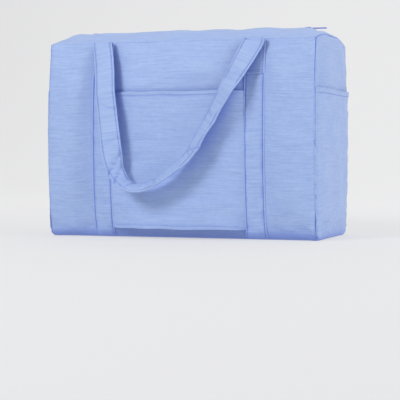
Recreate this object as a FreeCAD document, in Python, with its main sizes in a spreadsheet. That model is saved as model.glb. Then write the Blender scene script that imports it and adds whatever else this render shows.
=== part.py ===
import FreeCAD, Part
import math
import os
import re

import Sketcher
from FreeCAD import Placement, Rotation, Vector

# Foldable zip-top tote bag, in millimetres.
# Origin: centre of the flat base. X runs along the bag, -Y faces the trolley sleeve, Z is up.

doc = FreeCAD.newDocument("foldable_tote_bag")

# ---------------------------------------------------------------- driving dimensions
DIMENSIONS = {
    "bag_width": 400.0,
    "bag_depth": 176.0,
    "seam_height": 280.0,
    "dome_rise": 17.0,
    "face_bulge": 10.0,
    "base_radius": 14.0,
    "cloth": 2.0,
    "seam_gap": 0.3,
    "flap_clearance": 2.4,
    "flap_edge": 10.0,
    "tape_outer": 14.0,
    "tape_inner": 1.6,
    "tape_thickness": 0.6,
    "coil_inner": 1.2,
    "coil_outer": 3.4,
    "coil_height": 2.2,
    "chain_half_length": 157.5,
    "zip_half_length": 197.5,
    "slider_park": 166.0,
    "slider_length": 10.0,
    "slider_width": 9.0,
    "slider_plate": 1.2,
    "puller_length": 27.0,
    "puller_width": 7.0,
    "puller_thickness": 1.4,
    "sleeve_half_width": 98.0,
    "sleeve_bottom": 14.0,
    "sleeve_top": 208.0,
    "sleeve_front": 112.0,
    "strip_inner": 98.3,
    "strip_width": 31.7,
    "strip_thickness": 1.6,
    "strip_sewn_top": 238.0,
    "strap_width": 28.0,
    "strap_thickness": 5.0,
    "core_width": 23.0,
    "core_thickness": 2.4,
    "strap_lowest": 66.0,
    "fold_distance": 95.5,
    "fold_height": 277.0,
    "fold_radius": 2.0,
    "riser_top": 275.5,
    "riser_distance": 91.2,
    "pocket_gap": 7.0,
    "pocket_height": 212.0,
    "pocket_half_width": 86.0,
    "stow_half_width": 95.0,
    "stow_distance": 84.0,
    "stow_bottom": 62.0,
    "stow_top": 190.0,
    "stow_gap": 6.0,
    "binding_width": 5.0,
    "binding_thickness": 1.2,
    "stow_tape_width": 12.0,
    "stow_tab_thickness": 3.0,
    "stow_coil_height": 2.0,
    "post_slot": 1.5,
    "post_length": 3.0,
    "post_width": 1.8,
    "post_height": 7.0,
    "plate_rise": 2.3,
    "plate_drop": 4.4,
    "bridge_length": 8.0,
    "bridge_width": 2.4,
    "bridge_height": 4.2,
    "bridge_rise": 2.9,
    "window_length": 5.2,
    "window_height": 2.5,
    "window_rise": 3.6,
    "fork_length": 5.6,
    "fork_width": 3.4,
    "grip_hole_radius": 1.6,
    "pin_radius": 0.7,
    "sleeve_side_slant": 18.0,
    "sleeve_corner_drop": 1.0,
}

sheet = doc.addObject("Spreadsheet::Sheet", "Dimensions")
for row, (alias, value) in enumerate(DIMENSIONS.items(), start=1):
    sheet.set(f"A{row}", alias)
    sheet.set(f"B{row}", str(value))
    sheet.setAlias(f"B{row}", alias)
doc.recompute()

ALIAS_WORD = re.compile(r"\b(" + "|".join(DIMENSIONS) + r")\b")


def bound(text):
    """Turn words of the sheet into references, so the text can be used in setExpression."""
    return ALIAS_WORD.sub(r"Dimensions.\1", str(text))


def size(text):
    """Number that an expression of the sheet's words stands for."""
    result = sheet.evalExpression(bound(text))
    return float(getattr(result, "Value", result))


nodes = []


def keep(feature, name):
    """Name a finished sub-part and list it for writing."""
    feature.Label = name
    nodes.append(feature)
    return feature


def shape_part(name, shape):
    """A sub-part whose solid is made with Part's own functions."""
    feature = doc.addObject("Part::Feature", name)
    feature.Shape = shape
    feature.Placement = Placement()
    return keep(feature, name)


# ---------------------------------------------------------------- sketched bodies
def origin_plane(body, role):
    """One of the body's own base planes."""
    return next(plane for plane in body.Origin.OriginFeatures if plane.Role == role)


def add_sketch(body, name, loop, start_x):
    """Sketch on the YZ plane at X = start_x; loop lists corners, with the radius of the edge that follows.

    A corner is (y, z) or (y, z, radius), all expressions. A positive radius bulges to the right of the
    direction of travel, a negative one to the left.
    """
    sketch = body.newObject("Sketcher::SketchObject", name)
    sketch.AttachmentSupport = [(origin_plane(body, "YZ_Plane"), "")]
    sketch.MapMode = "FlatFace"
    sketch.setExpression("AttachmentOffset.Base.z", bound(start_x))
    spots = [Vector(size(corner[0]), size(corner[1]), 0) for corner in loop]
    ends = {}
    for i, corner in enumerate(loop):
        a, b = spots[i], spots[(i + 1) % len(loop)]
        if len(corner) == 3:
            radius = size(corner[2])
            reach = (b - a).Length / 2
            rise = abs(radius) - math.sqrt(radius**2 - reach**2)
            right = Vector((b - a).y, -(b - a).x, 0).normalize()
            top = (a + b) * 0.5 + right * math.copysign(rise, radius)
            index = sketch.addGeometry(Part.Arc(a, top, b))
            size_index = sketch.addConstraint(Sketcher.Constraint("Radius", index, abs(radius)))
            sketch.setExpression(f"Constraints[{size_index}]", bound(f"abs({corner[2]})"))
        else:
            index = sketch.addGeometry(Part.LineSegment(a, b))
        for position in (1, 2):
            spot = sketch.getPoint(index, position)
            nearest = i if (spot - a).Length < (spot - b).Length else (i + 1) % len(loop)
            ends.setdefault(nearest, []).append((index, position))
    for i, corner in enumerate(loop):
        first, second = ends[i]
        sketch.addConstraint(Sketcher.Constraint("Coincident", *first, *second))
        positions = (("DistanceX", spots[i].x, corner[0]), ("DistanceY", spots[i].y, corner[1]))
        for kind, target, expression in positions:
            number = sketch.addConstraint(Sketcher.Constraint(kind, -1, 1, *first, target))
            sketch.setExpression(f"Constraints[{number}]", bound(expression))
    return sketch


def padded_body(name, loop, start_x, length, hollow=None):
    """Body padded along +X from start_x; hollow is a (loop, start_x, length) to cut out of it."""
    body = doc.addObject("PartDesign::Body", name)
    pad = body.newObject("PartDesign::Pad", name + "_pad")
    pad.Profile = add_sketch(body, name + "_outline", loop, start_x)
    pad.setExpression("Length", bound(length))
    body.Tip = pad
    if hollow:
        doc.recompute()
        pocket = body.newObject("PartDesign::Pocket", name + "_hollow")
        pocket.Profile = add_sketch(body, name + "_hollow_outline", hollow[0], hollow[1])
        pocket.setExpression("Length", bound(hollow[2]))
        pocket.Reversed = True
        body.Tip = pocket
    return keep(body, name)


# ---------------------------------------------------------------- outline of the bag
HALF_DEPTH = "bag_depth / 2"
TUBE_HALF = "(bag_width / 2 - cloth)"
TUBE_LENGTH = "(bag_width - 2 * cloth)"
FLAT_HALF = "(bag_depth / 2 - base_radius)"
FACE_REACH = "((seam_height - base_radius) / 2)"
FACE_MIDDLE = "((seam_height + base_radius) / 2)"
FACE_RADIUS = f"(({FACE_REACH}^2 + face_bulge^2) / (2 * face_bulge))"
DOME_RADIUS = "((bag_depth^2 / 4 + dome_rise^2) / (2 * dome_rise))"
DOME_CENTRE = f"(seam_height + dome_rise - {DOME_RADIUS})"


def face_text(z, offset="0"):
    """Expression for the distance of the bulged face from the middle plane at height z."""
    drop = f"{FACE_RADIUS} - sqrt({FACE_RADIUS}^2 - ({z} - {FACE_MIDDLE})^2)"
    return f"({HALF_DEPTH} + face_bulge - ({drop}) + {offset})"


def dome_text(y, lift="0"):
    """Expression for the height of the closed top at distance y from the middle plane."""
    return f"({DOME_CENTRE} + sqrt(({DOME_RADIUS} + {lift})^2 - ({y})^2))"


def face_loop(side, low_z, high_z, inner, outer):
    """Strip of the bulged face: side is -1 for the back and 1 for the front."""
    turn = "" if side > 0 else "-"
    return [
        (f"{side} * {face_text(low_z, outer)}", low_z, f"{turn}{FACE_RADIUS}"),
        (f"{side} * {face_text(high_z, outer)}", high_z),
        (f"{side} * {face_text(high_z, inner)}", high_z, f"-1 * {turn}{FACE_RADIUS}"),
        (f"{side} * {face_text(low_z, inner)}", low_z),
    ]


def dome_loop(side, near, far, low, high):
    """Band of the dome between two distances from the middle plane."""
    turn = "-" if side > 0 else ""
    return [
        (f"{side} * ({near})", dome_text(near, high), f"{turn}({DOME_RADIUS} + {high})"),
        (f"{side} * ({far})", dome_text(far, high)),
        (f"{side} * ({far})", dome_text(far, low), f"-1 * {turn}({DOME_RADIUS} + {low})"),
        (f"{side} * ({near})", dome_text(near, low)),
    ]


# ---------------------------------------------------------------- tote body panels
for side, name in ((-1, "back_panel"), (1, "front_panel")):
    loop = face_loop(side, "base_radius", "seam_height", "-1 * cloth", "0")
    padded_body(name, loop, f"-1 * {TUBE_HALF}", TUBE_LENGTH)

bottom_loop = [
    (f"-1 * {FLAT_HALF}", "0"),
    (FLAT_HALF, "0", "base_radius"),
    (HALF_DEPTH, "base_radius"),
    (f"{HALF_DEPTH} - cloth", "base_radius", "-1 * (base_radius - cloth)"),
    (FLAT_HALF, "cloth"),
    (f"-1 * {FLAT_HALF}", "cloth", "-1 * (base_radius - cloth)"),
    (f"cloth - {HALF_DEPTH}", "base_radius"),
    (f"-1 * {HALF_DEPTH}", "base_radius", "base_radius"),
]
padded_body("bottom_panel", bottom_loop, f"-1 * {TUBE_HALF}", TUBE_LENGTH)


def whole_loop(inset):
    """Closed outline of the bag's whole cross-section, drawn in by inset."""
    top = f"(seam_height - 0.4 * ({inset}))"
    half = f"({HALF_DEPTH} - ({inset}))"
    return [
        (f"-1 * {FLAT_HALF}", inset),
        (FLAT_HALF, inset, f"(base_radius - ({inset}))"),
        (half, "base_radius", FACE_RADIUS),
        (half, top, f"({DOME_RADIUS} - ({inset}))"),
        (f"-1 * {half}", top, FACE_RADIUS),
        (f"-1 * {half}", "base_radius", f"(base_radius - ({inset}))"),
    ]


for side, name in ((-1, "left_side_panel"), (1, "right_side_panel")):
    start_x = TUBE_HALF if side > 0 else "-1 * bag_width / 2"
    padded_body(name, whole_loop("0"), start_x, "cloth")

# Bias tape that binds the raw edges of the end seams, inside the bag, open across the mouth.
BINDING_OUTER = "(cloth + seam_gap)"
BINDING_INNER = "(cloth + seam_gap + binding_thickness)"


def binding_loop():
    """U-shaped outline: down one face, across the base and up the other."""
    top = "(seam_height - 8)"
    flat = FLAT_HALF
    outer, inner = BINDING_OUTER, BINDING_INNER
    half_out, half_in = f"({HALF_DEPTH} - {outer})", f"({HALF_DEPTH} - {inner})"
    high_out, high_in = face_text(top, f"-1 * {outer}"), face_text(top, f"-1 * {inner}")
    return [
        (f"-1 * {flat}", outer),
        (flat, outer, f"(base_radius - {outer})"),
        (half_out, "base_radius", FACE_RADIUS),
        (high_out, top),
        (high_in, top, f"-1 * {FACE_RADIUS}"),
        (half_in, "base_radius", f"-1 * (base_radius - {inner})"),
        (flat, inner),
        (f"-1 * {flat}", inner, f"-1 * (base_radius - {inner})"),
        (f"-1 * {half_in}", "base_radius", f"-1 * {FACE_RADIUS}"),
        (f"-1 * {high_in}", top),
        (f"-1 * {high_out}", top, FACE_RADIUS),
        (f"-1 * {half_out}", "base_radius", f"(base_radius - {outer})"),
    ]


padded_body("seam_binding_left", binding_loop(), f"seam_gap - {TUBE_HALF}", "binding_width")
padded_body(
    "seam_binding_right", binding_loop(), f"{TUBE_HALF} - seam_gap - binding_width", "binding_width"
)

# ---------------------------------------------------------------- zip closure
TAPE_LOW = "(-1 * cloth - tape_thickness)"
COIL_HIGH = "(coil_height + tape_thickness / 2 - cloth)"
for side, word in ((-1, "back"), (1, "front")):
    flap = dome_loop(side, "flap_edge", f"{HALF_DEPTH} - flap_clearance", "(-1 * cloth)", "0")
    padded_body(f"top_flap_{word}", flap, "-1 * zip_half_length", "2 * zip_half_length")
    tape = dome_loop(side, "tape_inner", "tape_outer", TAPE_LOW, "(-1 * cloth)")
    padded_body(f"zip_tape_{word}", tape, "-1 * chain_half_length", "2 * chain_half_length")
    coil = dome_loop(side, "coil_inner", "coil_outer", "(-1 * cloth)", COIL_HIGH)
    padded_body(f"zip_coil_{word}", coil, "-1 * chain_half_length", "2 * chain_half_length")

# Closed end of the chain, sewn down at each end of the mouth.
STUB_HALF = "(flap_edge - 0.5)"
END_LENGTH = "(zip_half_length - chain_half_length - seam_gap)"
SLOT_LENGTH = "(slider_park + 2 - chain_half_length - seam_gap)"
CROWN = "(seam_height + dome_rise)"
for side, word in ((-1, "left"), (1, "right")):
    stub = [
        (f"-1 * {STUB_HALF}", dome_text(STUB_HALF, TAPE_LOW)),
        (STUB_HALF, dome_text(STUB_HALF, TAPE_LOW)),
        (STUB_HALF, dome_text(STUB_HALF, "(-1 * cloth)"), f"({DOME_RADIUS} - cloth)"),
        (f"-1 * {STUB_HALF}", dome_text(STUB_HALF, "(-1 * cloth)")),
    ]
    start_x = "(chain_half_length + seam_gap)" if side > 0 else "-1 * zip_half_length"
    slot = [
        ("-1 * post_slot", "seam_height"),
        ("post_slot", "seam_height"),
        ("post_slot", f"{CROWN} + 5"),
        ("-1 * post_slot", f"{CROWN} + 5"),
    ]
    slot_x = start_x if side > 0 else f"-1 * chain_half_length - seam_gap - {SLOT_LENGTH}"
    padded_body(f"zip_end_{word}", stub, start_x, END_LENGTH, (slot, slot_x, SLOT_LENGTH))


def bound_box(name, sizes, place):
    """Part box with every size and coordinate bound to the sheet."""
    box = doc.addObject("Part::Box", name)
    for target, text in zip(("Length", "Width", "Height"), sizes):
        box.setExpression(target, bound(text))
    for target, text in zip("xyz", place):
        box.setExpression(f"Placement.Base.{target}", bound(text))
    return box


def fused(name, shapes):
    """Part fusion of several primitives."""
    joined = doc.addObject("Part::MultiFuse", name)
    joined.Shapes = shapes
    return joined


def cut(name, base, tool):
    """Part cut of one primitive from another."""
    result = doc.addObject("Part::Cut", name)
    result.Base = base
    result.Tool = tool
    return result


PIN_RISE = 4.9


def slider_body(name, top_width, low_width):
    """Slider about its own middle: two plates, the centre post and the bridge over the top."""
    half = "-1 * slider_length / 2"
    top_sizes = ("slider_length", top_width, "slider_plate")
    low_sizes = ("slider_length", low_width, "slider_plate")
    top = bound_box(name + "_top", top_sizes, (half, f"-1 * {top_width} / 2", "plate_rise"))
    low = bound_box(name + "_low", low_sizes, (half, f"-1 * {low_width} / 2", "-1 * plate_drop"))
    post = bound_box(
        name + "_post",
        ("post_length", "post_width", "post_height"),
        ("-1 * post_length / 2", "-1 * post_width / 2", "0.4 - plate_drop"),
    )
    arch = bound_box(
        name + "_arch",
        ("bridge_length", "bridge_width", "bridge_height"),
        ("-1 * bridge_length / 2", "-1 * bridge_width / 2", "bridge_rise"),
    )
    window = bound_box(
        name + "_window",
        ("window_length", "2 * bridge_width", "window_height"),
        ("-1 * window_length / 2", "-1 * bridge_width", "window_rise"),
    )
    bridge = cut(name + "_bridge", arch, window)
    return keep(fused(name, [top, low, post, bridge]), name)


def puller_body(name):
    """Flat pull tab lying along +X from its pin, with a fork at the pin and a grip hole."""
    half_thick = "-1 * puller_thickness / 2"
    tab = bound_box(
        name + "_tab", ("puller_length + 0.7", "puller_width", "puller_thickness"),
        ("-0.7", "-1 * puller_width / 2", half_thick),
    )
    fork_side = "-1 * fork_width / 2"
    gap = bound_box(name + "_gap", ("fork_length", "fork_width", "4"), ("pin_radius", fork_side, "-2"))
    throat = bound_box(name + "_throat", ("2", "fork_width", "4"), ("-1.2", fork_side, "-2"))
    hole = doc.addObject("Part::Cylinder", name + "_hole")
    hole.setExpression("Radius", bound("grip_hole_radius"))
    hole.Height = 4
    hole.setExpression("Placement.Base.x", bound("puller_length - 4.5"))
    hole.Placement.Base.z = -2
    pin = doc.addObject("Part::Cylinder", name + "_pin")
    pin.setExpression("Radius", bound("pin_radius"))
    pin.setExpression("Height", bound("puller_width"))
    start = Vector(0, size("-1 * puller_width / 2"), 0)
    pin.Placement = Placement(start, Rotation(Vector(1, 0, 0), -90))
    blank = cut(name + "_blank", tab, fused(name + "_openings", [gap, throat, hole]))
    return keep(fused(name, [blank, pin]), name)


def place_slider(words, widths, spot, turn_degrees):
    """Slider and its puller at one spot; the pin goes through the middle of the bridge window."""
    turn = Rotation(Vector(0, 0, 1), turn_degrees)
    slider = slider_body(f"{words[0]}_slider{words[1]}", *widths)
    slider.Placement = Placement(spot, turn)
    puller = puller_body(f"{words[0]}_puller{words[1]}")
    puller.Placement = Placement(spot + Vector(0, 0, PIN_RISE), turn)


slider_z = size(f"{CROWN} - cloth + tape_thickness")
for side, word in ((-1, "left"), (1, "right")):
    spot = Vector(side * size("slider_park"), 0, slider_z)
    widths = ("slider_width", "slider_width")
    place_slider(("zip", f"_{word}"), widths, spot, 0 if side > 0 else 180)

# ---------------------------------------------------------------- trolley sleeve
SLEEVE_STEPS = 8
sleeve_half = size("sleeve_half_width")
sleeve_front = size("sleeve_front")
sleeve_slant = size("sleeve_side_slant")
cloth = size("cloth")


def sleeve_section(z):
    """Open band that stands off the back face: two slanted sides and a nearly flat front."""
    wall_y = size(face_text(z, "seam_gap"))
    flat = sleeve_half - sleeve_slant
    edge = sleeve_front - size("sleeve_corner_drop")

    def spot(x, y):
        return Vector(x, -y, z)

    outer = [spot(-sleeve_half, wall_y), spot(-flat, edge), spot(flat, edge), spot(sleeve_half, wall_y)]
    inner_half = sleeve_half - cloth - 0.6
    inner = [
        spot(inner_half, wall_y),
        spot(flat - 0.5, edge - cloth),
        spot(0.5 - flat, edge - cloth),
        spot(-inner_half, wall_y),
    ]
    return Part.Wire(
        [
            Part.makeLine(outer[0], outer[1]),
            Part.Arc(outer[1], spot(0, sleeve_front), outer[2]).toShape(),
            Part.makeLine(outer[2], outer[3]),
            Part.makeLine(outer[3], inner[0]),
            Part.makeLine(inner[0], inner[1]),
            Part.Arc(inner[1], spot(0, sleeve_front - cloth), inner[2]).toShape(),
            Part.makeLine(inner[2], inner[3]),
            Part.makeLine(inner[3], outer[0]),
        ]
    )


sleeve_rise = size("(sleeve_top - sleeve_bottom)") / SLEEVE_STEPS
sleeve_wires = [sleeve_section(size("sleeve_bottom") + i * sleeve_rise) for i in range(SLEEVE_STEPS + 1)]
shape_part("trolley_sleeve", Part.makeLoft(sleeve_wires, True, True))


# ---------------------------------------------------------------- side pockets
def pocket_loop(inset, low_z, top_z):
    """Pocket seen from the side: upright box with rounded lower corners."""
    half = f"(pocket_half_width - {inset})"
    radius = f"(base_radius - {inset})"
    return [
        (f"{radius} - {half}", low_z),
        (f"{half} - {radius}", low_z, radius),
        (half, f"{low_z} + {radius}"),
        (half, top_z),
        (f"-1 * {half}", top_z),
        (f"-1 * {half}", f"{low_z} + {radius}", radius),
    ]


pocket_outer = pocket_loop("0", "cloth", "pocket_height")
pocket_inner = pocket_loop("cloth", "2 * cloth", "pocket_height + 5")
padded_body(
    "right_side_pocket", pocket_outer, "bag_width / 2", "pocket_gap + cloth",
    (pocket_inner, "bag_width / 2", "pocket_gap"),
)
padded_body(
    "left_side_pocket", pocket_outer, "-1 * bag_width / 2 - pocket_gap - cloth", "pocket_gap + cloth",
    (pocket_inner, "-1 * bag_width / 2 - pocket_gap", "pocket_gap"),
)


# ---------------------------------------------------------------- strap strips with their risers
def strip_loop(face):
    """Strip sewn up the bulged face, then a free riser that leads to the fold of the strap."""
    turn = "" if face > 0 else "-"
    sewn = "strip_sewn_top"
    outer = "(0.1 + strip_thickness)"
    return [
        (f"{face} * {face_text('base_radius', outer)}", "base_radius", f"{turn}{FACE_RADIUS}"),
        (f"{face} * {face_text(sewn, outer)}", sewn),
        (f"{face} * (riser_distance + 2)", "riser_top"),
        (f"{face} * riser_distance", "riser_top"),
        (f"{face} * {face_text(sewn, '0.1')}", sewn, f"-1 * {turn}{FACE_RADIUS}"),
        (f"{face} * {face_text('base_radius', '0.1')}", "base_radius"),
    ]


for face, face_word in ((-1, "back"), (1, "front")):
    for side_word, start_x in (("left", "-1 * strip_inner - strip_width"), ("right", "strip_inner")):
        padded_body(f"strap_strip_{face_word}_{side_word}", strip_loop(face), start_x, "strip_width")

# Bars of stitches that fasten each strip's upper end: one node, a separate solid per bar.
strip_middle = size("strip_inner + strip_width / 2")
bars = []
for face in (-1, 1):
    for side in (-1, 1):
        for drop in (4.0, 7.0):
            stitch_z = size("strip_sewn_top") - drop
            bar_y = size(face_text(stitch_z, "0.2 + strip_thickness"))
            low_y = bar_y if face > 0 else -bar_y - 0.5
            bars.append(Part.makeBox(24, 0.5, 0.8, Vector(side * strip_middle - 12, low_y, stitch_z)))
shape_part("bar_stitches", Part.makeCompound(bars))

# ---------------------------------------------------------------- shoulder straps
fold_distance = size("fold_distance")
fold_height = size("fold_height")
strap_width = size("strap_width")
strap_thickness = size("strap_thickness")

# Route of the back strap's middle line: x and z by hand, and how far it has turned edge-on.
BACK_ROUTE = [
    (-114, 277, 0), (-110, 262, 0), (-105, 240, 0), (-101, 215, 0), (-97, 190, 0), (-93, 165, 2),
    (-89, 140, 8), (-85, 118, 22), (-79, 98, 42), (-68, 82, 58), (-54, 73, 62), (-38, 73, 62),
    (-20, 80, 62), (-2, 91, 61), (16, 105, 57), (31, 122, 50), (43, 142, 40), (56, 164, 32),
    (69, 188, 26), (82, 212, 22), (94, 236, 14), (105, 258, 6), (114, 277, 0),
]
FRONT_TURN = 62.0
FRONT_STEPS = 24


def front_route():
    """Even drape of the front strap: two hanging runs joined by a round bottom."""
    low = size("strap_lowest") + 7
    stations = []
    for i in range(FRONT_STEPS + 1):
        angle = math.pi * i / FRONT_STEPS
        x = -strip_middle * math.copysign(abs(math.cos(angle)) ** 0.72, math.cos(angle))
        z = fold_height - (fold_height - low) * math.sin(angle) ** 0.9
        stations.append((x, z, FRONT_TURN * math.sin(angle) ** 2.2))
    return stations


def hang_y(z):
    """Distance from the middle plane of the strap's middle line at height z."""
    knee_z = size("sleeve_top")
    knee_y = sleeve_front + 2 * strap_thickness
    start_y = fold_distance + strap_thickness / 2 + 0.3
    low_y = 136.0
    if z > knee_z:
        return start_y + (knee_y - start_y) * (fold_height - z) / (fold_height - knee_z)
    return knee_y + (low_y - knee_y) * (knee_z - z) / (knee_z - size("strap_lowest"))


def ribbon(route, face, width, thickness, trim):
    """Closed band along a route, turned about its own middle line; face is -1 for the back."""
    spots = [Vector(x, face * hang_y(z), z) for x, z, turn in route]
    wires = []
    for i in range(trim, len(spots) - trim):
        before, after = spots[max(i - 1, 0)], spots[min(i + 1, len(spots) - 1)]
        along = (after - before).normalize()
        if i in (0, len(spots) - 1):
            along = Vector(0, 0, -1 if i == 0 else 1)
        flat = along.cross(Vector(0, face, 0)).normalize()
        out = flat.cross(along).normalize()
        turn = math.radians(route[i][2])
        across = flat * math.cos(turn) + out * math.sin(turn)
        normal = across.cross(along).normalize()
        a = across * (width / 2)
        b = normal * (thickness / 2)
        corners = [spots[i] + a + b, spots[i] - a + b, spots[i] - a - b, spots[i] + a - b]
        wires.append(Part.makePolygon(corners + [corners[0]]))
    return Part.makeLoft(wires, True, True)


for face, word, route in ((-1, "back", BACK_ROUTE), (1, "front", front_route())):
    band = ribbon(route, face, strap_width, strap_thickness, 0)
    core = ribbon(route, face, size("core_width"), size("core_thickness"), 2)
    folds = []
    for side in (-1, 1):
        fold_x = side * strip_middle - strap_width / 2 + 2
        fold_spot = Vector(fold_x, face * fold_distance, fold_height)
        folds.append(Part.makeCylinder(size("fold_radius"), strap_width - 4, fold_spot, Vector(1, 0, 0)))
    shape_part(f"{word}_shoulder_strap", band.fuse(folds).cut(core).removeSplitter())
    shape_part(f"{word}_strap_padding", core)

# ---------------------------------------------------------------- inside stow pocket
# The pouch hangs flat inside the front panel; the empty bag packs into it.
POUCH_NEAR = "(stow_distance - stow_gap - 2 * cloth)"
pouch_blank = bound_box(
    "pouch_blank",
    ("2 * stow_half_width", "stow_gap + 2 * cloth", "stow_top - stow_bottom"),
    ("-1 * stow_half_width", POUCH_NEAR, "stow_bottom"),
)
pouch_hollow = bound_box(
    "pouch_hollow",
    ("2 * stow_half_width - 2 * cloth", "stow_gap", "stow_top - stow_bottom"),
    ("cloth - stow_half_width", f"{POUCH_NEAR} + cloth", "stow_bottom + cloth"),
)
keep(cut("stow_pocket", pouch_blank, pouch_hollow), "stow_pocket")
tab = bound_box(
    "stow_pocket_tab",
    ("2 * stow_half_width - 20", "face_bulge", "stow_tab_thickness"),
    ("10 - stow_half_width", "stow_distance + 0.05", "stow_top - 4"),
)
keep(tab, "stow_pocket_tab")

TAPE_REACH = "2 * stow_half_width - 10"
lips = ((f"{POUCH_NEAR} - 0.65", "inner"), ("stow_distance - cloth - 0.65", "outer"))
for tape_y, word in lips:
    tape = bound_box(
        f"stow_zip_tape_{word}",
        (TAPE_REACH, "tape_thickness", "stow_tape_width"),
        ("5 - stow_half_width", tape_y, "stow_top - stow_tape_width / 2"),
    )
    keep(tape, f"stow_zip_tape_{word}")
    coil = bound_box(
        f"stow_zip_coil_{word}",
        (TAPE_REACH, "coil_height", "stow_coil_height"),
        ("5 - stow_half_width", tape_y, "stow_top + stow_tape_width / 2"),
    )
    keep(coil, f"stow_zip_coil_{word}")

stow_spot = Vector(
    size("stow_half_width - 14"),
    size(f"{POUCH_NEAR} + cloth + stow_gap / 2"),
    size("stow_top + 7"),
)
place_slider(("stow_zip", ""), ("(slider_width + 4)", "4.4"), stow_spot, 0)

# ---------------------------------------------------------------- check and write
doc.recompute()
for item in doc.Objects:
    if "Invalid" in item.State or "Error" in item.State:
        raise RuntimeError(f"{item.Label} failed to build")
for node in nodes:
    if node.Shape.isNull() or not node.Shape.isValid():
        raise RuntimeError(f"{node.Label} has no valid shape")

os.makedirs("parts", exist_ok=True)
for node in nodes:
    node.Shape.exportStep(os.path.join("parts", node.Label + ".step"))
    print(f"{node.Label}: {node.Shape.Volume:.0f} mm3, {len(node.Shape.Solids)} solid(s)")
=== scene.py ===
import math

import bmesh
import bpy
import numpy as np
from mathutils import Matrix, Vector


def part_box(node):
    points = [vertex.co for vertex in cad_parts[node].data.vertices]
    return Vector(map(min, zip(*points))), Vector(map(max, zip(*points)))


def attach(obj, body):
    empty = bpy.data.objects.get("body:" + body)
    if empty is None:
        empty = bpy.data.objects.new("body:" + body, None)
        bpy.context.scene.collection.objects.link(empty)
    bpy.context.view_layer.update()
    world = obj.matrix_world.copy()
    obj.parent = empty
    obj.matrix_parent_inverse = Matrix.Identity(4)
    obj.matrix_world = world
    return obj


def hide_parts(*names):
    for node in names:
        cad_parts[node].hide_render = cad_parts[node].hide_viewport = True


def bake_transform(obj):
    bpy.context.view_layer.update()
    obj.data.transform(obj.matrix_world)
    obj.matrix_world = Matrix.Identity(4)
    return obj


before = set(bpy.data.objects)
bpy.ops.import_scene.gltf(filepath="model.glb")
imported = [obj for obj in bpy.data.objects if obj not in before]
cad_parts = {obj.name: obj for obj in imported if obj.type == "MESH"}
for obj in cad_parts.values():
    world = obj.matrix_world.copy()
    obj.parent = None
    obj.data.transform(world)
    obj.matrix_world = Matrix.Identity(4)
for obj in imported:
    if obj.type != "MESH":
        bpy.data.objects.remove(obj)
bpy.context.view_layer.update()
scene = bpy.context.scene

# ---------------------------------------------------------------- camera, light and floor
# A camera at table height, turned 19 degrees to the right of the bag's back face, with its view shifted
# down instead of tilted so that uprights stay upright. A pale sweep and two soft panels stand for a studio.
turn = math.radians(19.2)
camera_data = bpy.data.cameras.new("camera")
camera_data.sensor_width = 36.0
camera_data.lens = 120.5
camera_data.shift_y = -0.116
camera = bpy.data.objects.new("camera", camera_data)
camera.location = (0.6528, -1.8726, 0.1203)
camera.rotation_euler = (math.radians(90.0), 0.0, turn)
scene.collection.objects.link(camera)
scene.camera = camera

scene.view_settings.view_transform = "Standard"
scene.view_settings.look = "None"


def linear(hex_colour):
    """sRGB hex, such as "99afe0", to the four linear numbers that a shader takes."""
    channels = np.array([int(hex_colour[i : i + 2], 16) / 255.0 for i in (0, 2, 4)])
    curve = np.where(channels <= 0.04045, channels / 12.92, ((channels + 0.055) / 1.055) ** 2.4)
    return (*curve.tolist(), 1.0)


def add_node(tree, kind, settings=None, **links):
    """Add one shader node; settings are attributes or input values, links are input name to socket."""
    node = tree.nodes.new(kind)
    for key, value in (settings or {}).items():
        if isinstance(key, str) and hasattr(node, key):
            setattr(node, key, value)
        else:
            node.inputs[key].default_value = value
    for name, socket in links.items():
        tree.links.new(socket, node.inputs[name.replace("_", " ")])
    return node


world = bpy.data.worlds.new("studio_air")
world.use_nodes = True
world.node_tree.nodes["Background"].inputs["Color"].default_value = linear("eef0f4")
world.node_tree.nodes["Background"].inputs["Strength"].default_value = 0.36
scene.world = world


def area_light(name, place, aim, width, height, power):
    """Soft rectangular panel at a place, facing a point."""
    data = bpy.data.lights.new(name, "AREA")
    data.shape = "RECTANGLE"
    data.size = width
    data.size_y = height
    data.energy = power
    lamp = bpy.data.objects.new(name, data)
    lamp.location = place
    lamp.rotation_euler = (Vector(aim) - Vector(place)).to_track_quat("-Z", "Y").to_euler()
    scene.collection.objects.link(lamp)
    return lamp


area_light("key_panel", (-1.15, -2.1, 1.55), (0.0, 0.0, 0.15), 0.8, 0.8, 38.0)
area_light("fill_panel", (2.6, -0.7, 1.1), (0.0, 0.0, 0.15), 1.8, 1.8, 37.0)
area_light("top_panel", (0.0, 0.3, 2.4), (0.0, 0.0, 0.1), 2.0, 1.4, 7.0)
area_light("backdrop_panel", (0.0, 1.3, 1.9), (0.0, 2.6, 0.3), 4.0, 0.5, 26.0)

across = np.linspace(-4.0, 4.0, 3)
sweep = np.linspace(0.0, 1.0, 60)
sweep_y = np.where(
    sweep < 0.5, -3.0 + 9.0 * sweep, 1.5 + 1.5 * np.sin(np.clip(sweep - 0.5, 0, 0.25) * 2 * math.pi)
)
sweep_z = np.where(sweep < 0.5, 0.0, 1.5 - 1.5 * np.cos(np.clip(sweep - 0.5, 0, 0.25) * 2 * math.pi))
sweep_z = sweep_z + np.clip(sweep - 0.75, 0, None) * 12.0


def grid_faces(rows, columns):
    """Quads of a grid stored row by row; each face's corners go row, then column."""
    i = np.arange(rows - 1)[:, None] * columns + np.arange(columns - 1)[None, :]
    return np.stack([i, i + 1, i + columns + 1, i + columns], axis=-1).reshape(-1, 4)


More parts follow.
